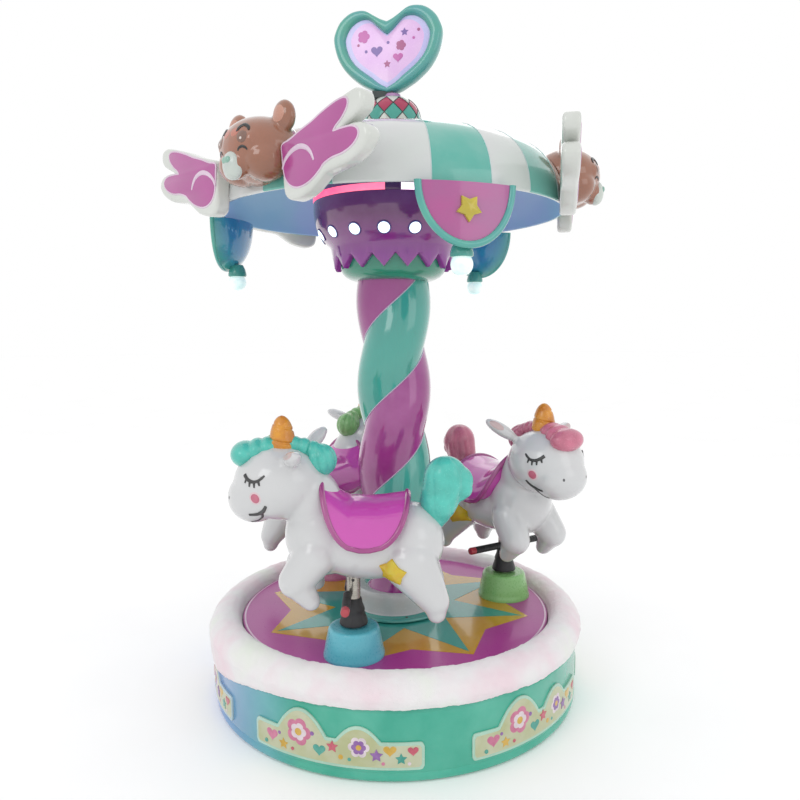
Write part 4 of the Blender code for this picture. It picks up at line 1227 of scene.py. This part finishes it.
def unicorn_form():
    out = [blob(-50, 0, 603, 185, 117, 112), blob(-160, 0, 599, 108, 119, 117),
           blob(85, 0, 622, 112, 106, 120),
           ball((0.115, 0.0, 0.720), (0.086, 0.088, 0.112), turned(25.0, "Y")),
           blob(210, 0, 778, 130, 119, 109), blob(278, 0, 737, 80, 92, 76)]
    for spot, lean in EARS:
        out.append(ball(spot, (0.025, 0.021, 0.064), Vector(lean).to_track_quat("Z", "Y").to_matrix().to_4x4()))
    for s in (-1.0, 1.0):
        out += limb((0.105, s * 0.066, 0.575), (0.158, s * 0.082, 0.510), 0.060, 0.049, 6)
        out += limb((0.158, s * 0.082, 0.510), (0.116, s * 0.082, 0.450), 0.046, 0.027, 6)
        out += limb((-0.165, s * 0.068, 0.555), (-0.234, s * 0.088, 0.448), 0.078, 0.042, 8)
        out += limb((-0.234, s * 0.088, 0.448), (-0.238, s * 0.092, 0.414), 0.038, 0.028, 4)
    return out


def saddle_point(side, along, lift=0.0):
    ang = math.radians(90.0 * side)
    span = 0.112 * math.sqrt(max(0.0, 1.0 - abs(side) ** 2.6)) + 0.014
    edge = max(0.0, abs(along) - 0.30) / 0.70
    rise = ((0.066 if along > 0.0 else 0.016) * edge ** 1.4 - 0.021) * max(0.0, math.cos(ang)) ** 1.3
    r = 0.1385 + lift
    return Vector((-0.038 + span * along, r * math.sin(ang), 0.612 + r * math.cos(ang) + rise))


def make_saddle_meshes():
    """The saddle's pad and its rolled edge."""
    across, length_rows = 56, 26
    verts, faces = [], []
    for layer in (0.0, -0.040):
        for i in range(across + 1):
            for j in range(length_rows + 1):
                side = -1.0 + 2.0 * i / across
                along = -1.0 + 2.0 * j / length_rows
                crown = 0.0035 * (1.0 - along ** 4) * (1.0 - side ** 6) if layer == 0.0 else 0.0
                verts.append(saddle_point(side, along, layer + crown))
    per = (across + 1) * (length_rows + 1)
    for layer in (0, 1):
        faces += grid(across + 1, length_rows + 1, start=layer * per, wrap=False)
    loop = [i * (length_rows + 1) for i in range(across + 1)]
    loop += [across * (length_rows + 1) + j for j in range(1, length_rows + 1)]
    loop += [i * (length_rows + 1) + length_rows for i in range(across - 1, -1, -1)]
    loop += [j for j in range(length_rows - 1, 0, -1)]
    for a, b in zip(loop, loop[1:] + loop[:1]):
        faces.append([a, b, per + b, per + a])
    middle = Vector((-0.038, 0.0, 0.612))
    path = [verts[n] - (verts[n] - middle).normalized() * 0.004 for n in loop]
    ups = [(p - middle).normalized() for p in path]
    return (verts, faces), bar(path, ups, sizes().saddle_roll, sides=12, closed=True)


def horn_form():
    verts, faces = [], []
    rows, sides = 60, 40
    for j in range(rows + 1):
        t = j / rows
        z = 0.866 + 0.104 * t
        r = 0.0405 * (1.0 - t ** 2.6) ** 0.52 * (0.93 + 0.07 * math.sin(math.pi * min(1.0, t * 2.2)))
        for i in range(sides):
            a = 2.0 * math.pi * i / sides
            turn = (t * 2.5 + i / sides) % 1.0
            groove = math.exp(-((min(turn, 1.0 - turn)) / 0.075) ** 2)
            rr = r * (1.0 - 0.15 * groove * (1.0 - t * 0.5))
            verts.append(Vector((0.199 + rr * math.cos(a), rr * math.sin(a), z)))
    faces += grid(rows + 1, sides)
    faces.append(list(range(sides)))
    return verts, faces


def ribbed(mesh, centre, axis, count, depth):
    """Press ribs into a puffy form, like segments round an axis."""
    axis = Vector(axis).normalized()
    side = axis.orthogonal().normalized()
    other = axis.cross(side)
    centre = Vector(centre)
    for v in mesh.vertices:
        d = v.co - centre
        a = math.atan2(d.dot(other), d.dot(side))
        away = d - axis * d.dot(axis)
        if away.length > 1e-4:
            v.co -= away.normalized() * depth * (1.0 - abs(math.sin(a * count / 2.0)) ** 0.6)
    return mesh


def hair_meshes():
    fringe = [blob(305, 0, 860, 42, 62, 38), blob(270, 0, 870, 30, 52, 36),
              blob(240, 0, 878, 28, 44, 32), blob(214, 0, 884, 24, 36, 28),
              blob(188, 0, 886, 22, 31, 26), blob(162, 0, 884, 22, 30, 26),
              blob(136, 0, 878, 22, 31, 27)]
    bun = [blob(89, 0, 840, 47, 46, 48), blob(112, 0, 868, 26, 34, 28)]
    tail = limb((-0.238, 0.0, 0.664), (-0.250, 0.0, 0.712), 0.034, 0.056, 5, 0.95)
    tail += limb((-0.250, 0.0, 0.712), (-0.272, 0.0, 0.782), 0.056, 0.066, 5, 0.88)
    tail += limb((-0.272, 0.0, 0.782), (-0.310, 0.0, 0.776), 0.062, 0.044, 5, 0.9)
    tail += [blob(-322, 0, 752, 30, 34, 30), blob(-312, 0, 736, 24, 28, 22)]
    fringe_mesh = fuse("fringe", fringe, 0.0035, 1)
    bun_mesh = ribbed(fuse("bun", bun, 0.0035, 2), (0.092, 0.0, 0.84), (0.25, 0.0, 1.0), 9, 0.0045)
    tail_mesh = fuse("tail", tail, 0.0045, 3)
    ribbed(tail_mesh, (-0.275, 0.0, 0.780), (0.1, 0.0, 1.0), 8, 0.0040)
    return fringe_mesh, bun_mesh, tail_mesh


def make_unicorns():
    body = fuse("unicorn", unicorn_form(), 0.0058, 9)
    tree = surface(body)
    white = paint("unicorn_white", colour("white"), linear("e2e3e4"), rough=0.2, coat=0.7, cloud=5.0, relief=0.04)
    body.materials.append(white)
    pad, roll = make_saddle_meshes()
    lash = sizes().lash
    black, halos, cheeks, stars, holes, inner = [], [], [], [], [], []
    for s in (1.0, -1.0):
        look = (0.30, s * 1.0, 0.12)
        up = (0.0, 0.0, 1.0)
        # +u runs forward on the left side and backward on the right, so it is flipped there
        f = -s
        lid = [(f * -0.029, 0.007), (f * -0.016, -0.002), (0.0, -0.004), (f * 0.016, 0.002), (f * 0.028, 0.013)]
        black.append(line_on(tree, (0.269, s * 0.101, 0.803), look, up, lid, lambda t: lash * (0.75 + 0.45 * t)))
        for u0, v0, u1, v1 in ((-0.028, 0.006, -0.036, 0.014), (-0.019, -0.001, -0.024, -0.014),
                               (-0.007, -0.003, -0.008, -0.020), (0.007, -0.002, 0.008, -0.018),
                               (0.019, 0.004, 0.024, -0.009)):
            path = [(f * u0, v0), (f * (u0 + u1) / 2, (v0 + v1) / 2), (f * u1, v1)]
            black.append(line_on(tree, (0.269, s * 0.101, 0.803), look, up, path,
                                 lambda t: lash * (0.95 - 0.45 * t), per=4))
        mouth = (0.265, s * 0.108, 0.712)
        grin = [(f * -0.030, 0.020), (f * -0.016, 0.004), (f * 0.004, -0.006), (f * 0.026, -0.008)]
        black.append(line_on(tree, mouth, look, up, grin, lambda t: 0.0068 - 0.0028 * abs(2 * t - 1)))
        crease = [(f * -0.010, 0.0), (f * -0.004, -0.014), (f * 0.012, -0.026), (f * 0.034, -0.032)]
        black.append(line_on(tree, mouth, look, up, crease, lambda t: 0.0050 - 0.0030 * t))
        cheek = on_form(tree, (0.268, s * 0.125, 0.755), look, up)
        halos.append(stamp(cheek, 0.0, 0.0, disc(0.0185), 0.0004))
        cheeks.append(stamp(cheek, 0.0, 0.0, disc(0.0135), 0.0011, dome=0.0006))
        flank = on_form(tree, (-0.117, s * 0.138, 0.543), (-0.15, s * 1.0, -0.15), up)
        stars.append(stamp(flank, 0.0, 0.0, star(0.037, 0.68), 0.005, dome=0.005))
        holes.append(stamp(on_form(tree, (0.342, s * 0.047, 0.743), (1.0, s * 0.45, 0.0), up), 0.0, 0.0,
                           disc(0.0048, 0.8, 16), 0.0004))
        spot, lean = EARS[0 if s < 0.0 else 1]
        ear = on_form(tree, Vector(spot) + Vector(lean) * 0.12, (0.45, s * 0.55, 0.35), lean)
        # Greyish pink inside the ear: partly its own pink, partly painted shade in the ear's hollow.
        inner.append(stamp(ear, 0.0, 0.0, disc(0.026, 0.42, 24), 0.0006))
    horn = horn_form()
    meshes = hair_meshes()
    paints = {
        "lines": paint("lash_black", colour("black"), rough=0.3, coat=0.4),
        "halo": paint("cheek_halo", linear("efcfd6"), linear("eee2e4"), rough=0.2, cloud=45.0),
        "cheek": paint("cheek_pink", linear("d9718c"), rough=0.2, cloud=30.0),
        "star": paint("flank_gold", colour("gold"), linear("e2b02a"), rough=0.2, cloud=30.0),
        "hole": paint("nostril_grey", linear("4a4a4e"), rough=0.4),
        # Ear insides: own pink greyed by painted shade in the hollow.
        "ear": paint("ear_pink", linear("ddc3c3"), linear("cfb4b0"), rough=0.3, cloud=25.0),
        "horn": paint("horn_orange", colour("horn"), linear("d98414"), rough=0.25, coat=0.6, cloud=30.0, relief=0.3),
        "saddle": paint("saddle_pink", colour("saddle"), shade(colour("saddle"), 0.92), rough=0.12, coat=1.0),
        "edge": paint("saddle_edge", colour("saddle_edge"), rough=0.14, coat=1.0),
    }
    hairs = [paint("hair_teal", colour("hair_teal"), shade(colour("hair_teal"), 0.82), rough=0.25, cloud=25.0),
             paint("hair_pink", colour("hair_pink"), shade(colour("hair_pink"), 0.80), rough=0.25, cloud=25.0),
             paint("hair_green", colour("hair_green"), shade(colour("hair_green"), 0.80), rough=0.25, cloud=25.0)]
    for k in range(3):
        ride = "unicorn_%d" % (k + 1)
        tag = "_%d" % (k + 1)
        phi = SEAT_PHI[k]
        place = (Matrix.Translation(at(phi, SEAT_R, 0.0))
                 @ turned(180.0 + phi + SEAT_TURN[k]))
        mount("unicorn" + tag, body, ride, ["unicorn_body" + tag], sharp=180.0, place=place)
        piece("saddle_pad" + tag, pad, [paints["saddle"]], ride, ["saddle" + tag], sharp=60.0, place=place)
        piece("saddle_roll" + tag, roll, [paints["edge"]], ride, sharp=180.0, place=place)
        for part, forms, key in (("face_lines", black, "lines"), ("cheek_halos", halos, "halo"),
                                 ("cheeks", cheeks, "cheek"), ("flank_stars", stars, "star"),
                                 ("nostrils", holes, "hole"), ("ear_insides", inner, "ear")):
            piece(part + tag, joined(forms), [paints[key]], ride, sharp=50.0, place=place)
        piece("horn_fluted" + tag, horn, [paints["horn"]], ride, ["horn" + tag], sharp=180.0, place=place)
        for name, mesh, old in zip(("fringe", "bun", "tail_curl"), meshes, ("mane", None, "tail")):
            own = mesh.copy()
            own.materials.append(hairs[k])
            mount(name + tag, own, ride, [old + tag] if old else (), sharp=180.0, place=place)
        make_post(k, ride, tag, place)


def make_post(k, ride, tag, place):
    rubber = paint("boot_rubber", colour("black"), linear("2a2a2e"), rough=0.45, coat=0.1, cloud=30.0, relief=0.3)
    steel = paint("post_steel", linear("cfcac0"), linear("b9b4aa"), rough=0.25, coat=0.0, metal=0.8, cloud=30.0)
    red = paint("peg_red", colour("red"), rough=0.35)
    # Dark grey stands for the post's holes: painted shade inside them.
    dark = paint("post_hole", linear("2b2b2b"), rough=0.5)
    boot = mm(0, 430, 22.5, 430, 24, 427, 26.5, 413, 32, 398, 33, 393, 31.8, 389, 36, 376, 40.5, 362, 42, 356,
              41.5, 352.5, 0, 352)
    rod = mm(0, 360, 19.5, 360, 19.5, 264, 0, 264)
    upper = mm(0, 560, 20.5, 560, 20.5, 428, 0, 428)
    piece("boot" + tag, lathe(boot, 48), [rubber], ride, ["post" + tag], place=place)
    piece("post_rod" + tag, lathe(rod, 32), [steel], ride, place=place)
    piece("post_upper" + tag, lathe(upper, 32), [steel], ride, place=place)
    across = shifted(0.016, 0.0, 0.447) @ turned(90.0, "X")
    grips, caps = [], []
    for s in (1.0, -1.0):
        grip = [(0.0, 0.022), (0.0100, 0.022), (0.0118, 0.024)]
        for i in range(9):
            z = 0.030 + i * 0.0125
            grip += [(0.0122, z), (0.0122, z + 0.0085), (0.0112, z + 0.0095), (0.0112, z + 0.0115)]
        grip += [(0.0122, 0.144), (0.0, 0.144)]
        cap = mm(0, 143.5, 12.5, 143.5, 12.5, 160, 11.2, 164, 8, 165, 0, 165)
        grips.append(moved(lathe([(r, s * z) for r, z in grip], 24), across))
        caps.append(moved(lathe([(r, s * z) for r, z in cap], 24), across))
    piece("pegs" + tag, joined(grips), [rubber], ride, place=place)
    piece("peg_ends" + tag, joined(caps), [red], ride, place=place)
    # Painted shade: flat dark discs where the post has holes.
    holes = [moved(lathe(mm(0, 0.8, 4.2, 0.8, 5, -1, 0, -1), 16),
                   shifted(0.0, s * 0.0205, 0.4880) @ turned(-90.0 * s, "X"))
             for s in (1.0, -1.0)]
    piece("post_holes" + tag, joined(holes), [dark], ride, place=place)


def make_pedestals():
    profile = mm(20.3, 345, 63, 345, 68.5, 344.4, 72.5, 342, 75, 337.8, 76.8, 331, 79, 320, 81.8, 308,
                 84.5, 295, 87, 280, 88.5, 271, 90.5, 266.5, 91, 262, 91, 257.3, 20.3, 257.3)
    for k, key in enumerate(("blue_foot", "green_foot", "pink_foot")):
        mat = paint(key, colour(key), shade(colour(key), 0.90), rough=0.28, coat=0.5)
        place = Matrix.Translation(at(SEAT_PHI[k], SEAT_R, 0.0))
        piece("foot_cone_%d" % (k + 1), lathe(profile, 72, closed=True), [mat], "deck_unit",
              ["pedestal_%d" % (k + 1)], place=place)


# Stage

def make_stage():
    floor = bpy.data.meshes.new("floor")
    verts, faces = lathe(mm(0, -1, 2000, -1, 6000, -1, 40000, -1), 64)
    floor.from_pydata([tuple(v) for v in verts], [], faces)
    obj = add("floor", floor)
    pale = bpy.data.materials.new("floor_pale")
    pale.use_nodes = True
    shader = pale.node_tree.nodes["Principled BSDF"]
    _, _, ramp = blotches(pale, 2.0, 2.0, (0.89, 0.89, 0.89), (0.91, 0.91, 0.91))
    pale.node_tree.links.new(ramp.outputs["Color"], shader.inputs["Base Color"])
    put(shader, Emission_Color=(1.0, 1.0, 1.0, 1.0), Emission_Strength=0.10, Roughness=0.9,
        Specular_IOR_Level=0.1)
    floor.materials.append(pale)
    world = bpy.data.worlds.new("studio")
    bpy.context.scene.world = world
    world.use_nodes = True
    put(world.node_tree.nodes["Background"], Color=(1.0, 1.0, 1.0, 1.0), Strength=1.0)
    bpy.context.scene.view_settings.view_transform = "Standard"
    for name, spot, size, power in (("key", (-2.2, -3.0, 3.4), 1.6, 17.0), ("fill", (2.8, -2.4, 2.4), 1.8, 8.0),
                                    ("back", (0.6, 2.8, 3.2), 2.0, 8.0)):
        lamp = bpy.data.lights.new(name, "AREA")
        lamp.size = size
        lamp.energy = power
        holder = bpy.data.objects.new(name, lamp)
        holder.location = spot
        holder.rotation_euler = (Vector((0.0, 0.0, 1.1)) - Vector(spot)).to_track_quat("-Z", "Y").to_euler()
        bpy.context.scene.collection.objects.link(holder)
    camera = bpy.data.cameras.new("photo_view")
    camera.sensor_width = 36.0
    camera.lens = 31.836
    camera.clip_end = 200.0
    holder = bpy.data.objects.new("photo_view", camera)
    holder.matrix_world = (shifted(0.0202, -2.400, 1.2065)
                           @ Matrix.Rotation(math.pi / 2.0 - 0.0963, 4, "X") @ Matrix.Rotation(-0.006, 4, "Z"))
    bpy.context.scene.collection.objects.link(holder)
    bpy.context.scene.camera = holder


def operator(tag, label, doc, *steps):
    """An operator class that runs the given steps."""
    def execute(self, context):
        for step in steps:
            step()
        return {"FINISHED"}

    return type("CAROUSEL_OT_" + tag, (Operator,),
                {"bl_idname": "carousel." + tag, "bl_label": label, "__doc__": doc, "execute": execute})


OPERATORS = (
    operator("stage", "Stage", "Add the floor, the light and the camera", make_stage),
    operator("base", "Base", "Build the skirt with its panels and the icing rim", make_skirt, make_rim),
    operator("deck", "Deck", "Build the deck with its star and the foot of the column", make_deck, make_foot),
    operator("column", "Column", "Build the two strands and their seams", make_column),
    operator("drum", "Drum", "Build the bowl, the drum, its lamps and its light strip", make_drum),
    operator("canopy", "Canopy", "Build the striped dome and the diamond cap", make_canopy, make_cap),
    operator("heart", "Heart", "Build the glowing heart sign", make_heart),
    operator("bears", "Bears", "Build the bear heads and their wings", make_wings, make_bears),
    operator("pendants", "Pendants", "Build the half-round pendants with their globes", make_pendants),
    operator("seats", "Seats", "Build the unicorns, saddles, posts and pedestals", make_unicorns, make_pedestals),
)


class CAROUSEL_PT_dresser(Panel):
    """Lists the carousel's pieces"""
    bl_idname = "CAROUSEL_PT_dresser"
    bl_label = "Carousel"
    bl_space_type = "VIEW_3D"
    bl_region_type = "UI"
    bl_category = "Carousel"

    def draw(self, context):
        for kind in OPERATORS:
            self.layout.operator(kind.bl_idname)
        for group in (context.scene.carousel_paint, context.scene.carousel_sizes):
            for key in group.__annotations__:
                self.layout.prop(group, key)


CLASSES = (CarouselPaint, CarouselSizes, *OPERATORS, CAROUSEL_PT_dresser)


def register():
    for kind in CLASSES:
        bpy.utils.register_class(kind)
    bpy.types.Scene.carousel_paint = PointerProperty(type=CarouselPaint)
    bpy.types.Scene.carousel_sizes = PointerProperty(type=CarouselSizes)


def unregister():
    del bpy.types.Scene.carousel_paint
    del bpy.types.Scene.carousel_sizes
    for kind in reversed(CLASSES):
        bpy.utils.unregister_class(kind)


def main():
    register()
    for kind in OPERATORS:
        getattr(bpy.ops.carousel, kind.bl_idname.split(".")[1])()


if __name__ == "__main__":
    main()
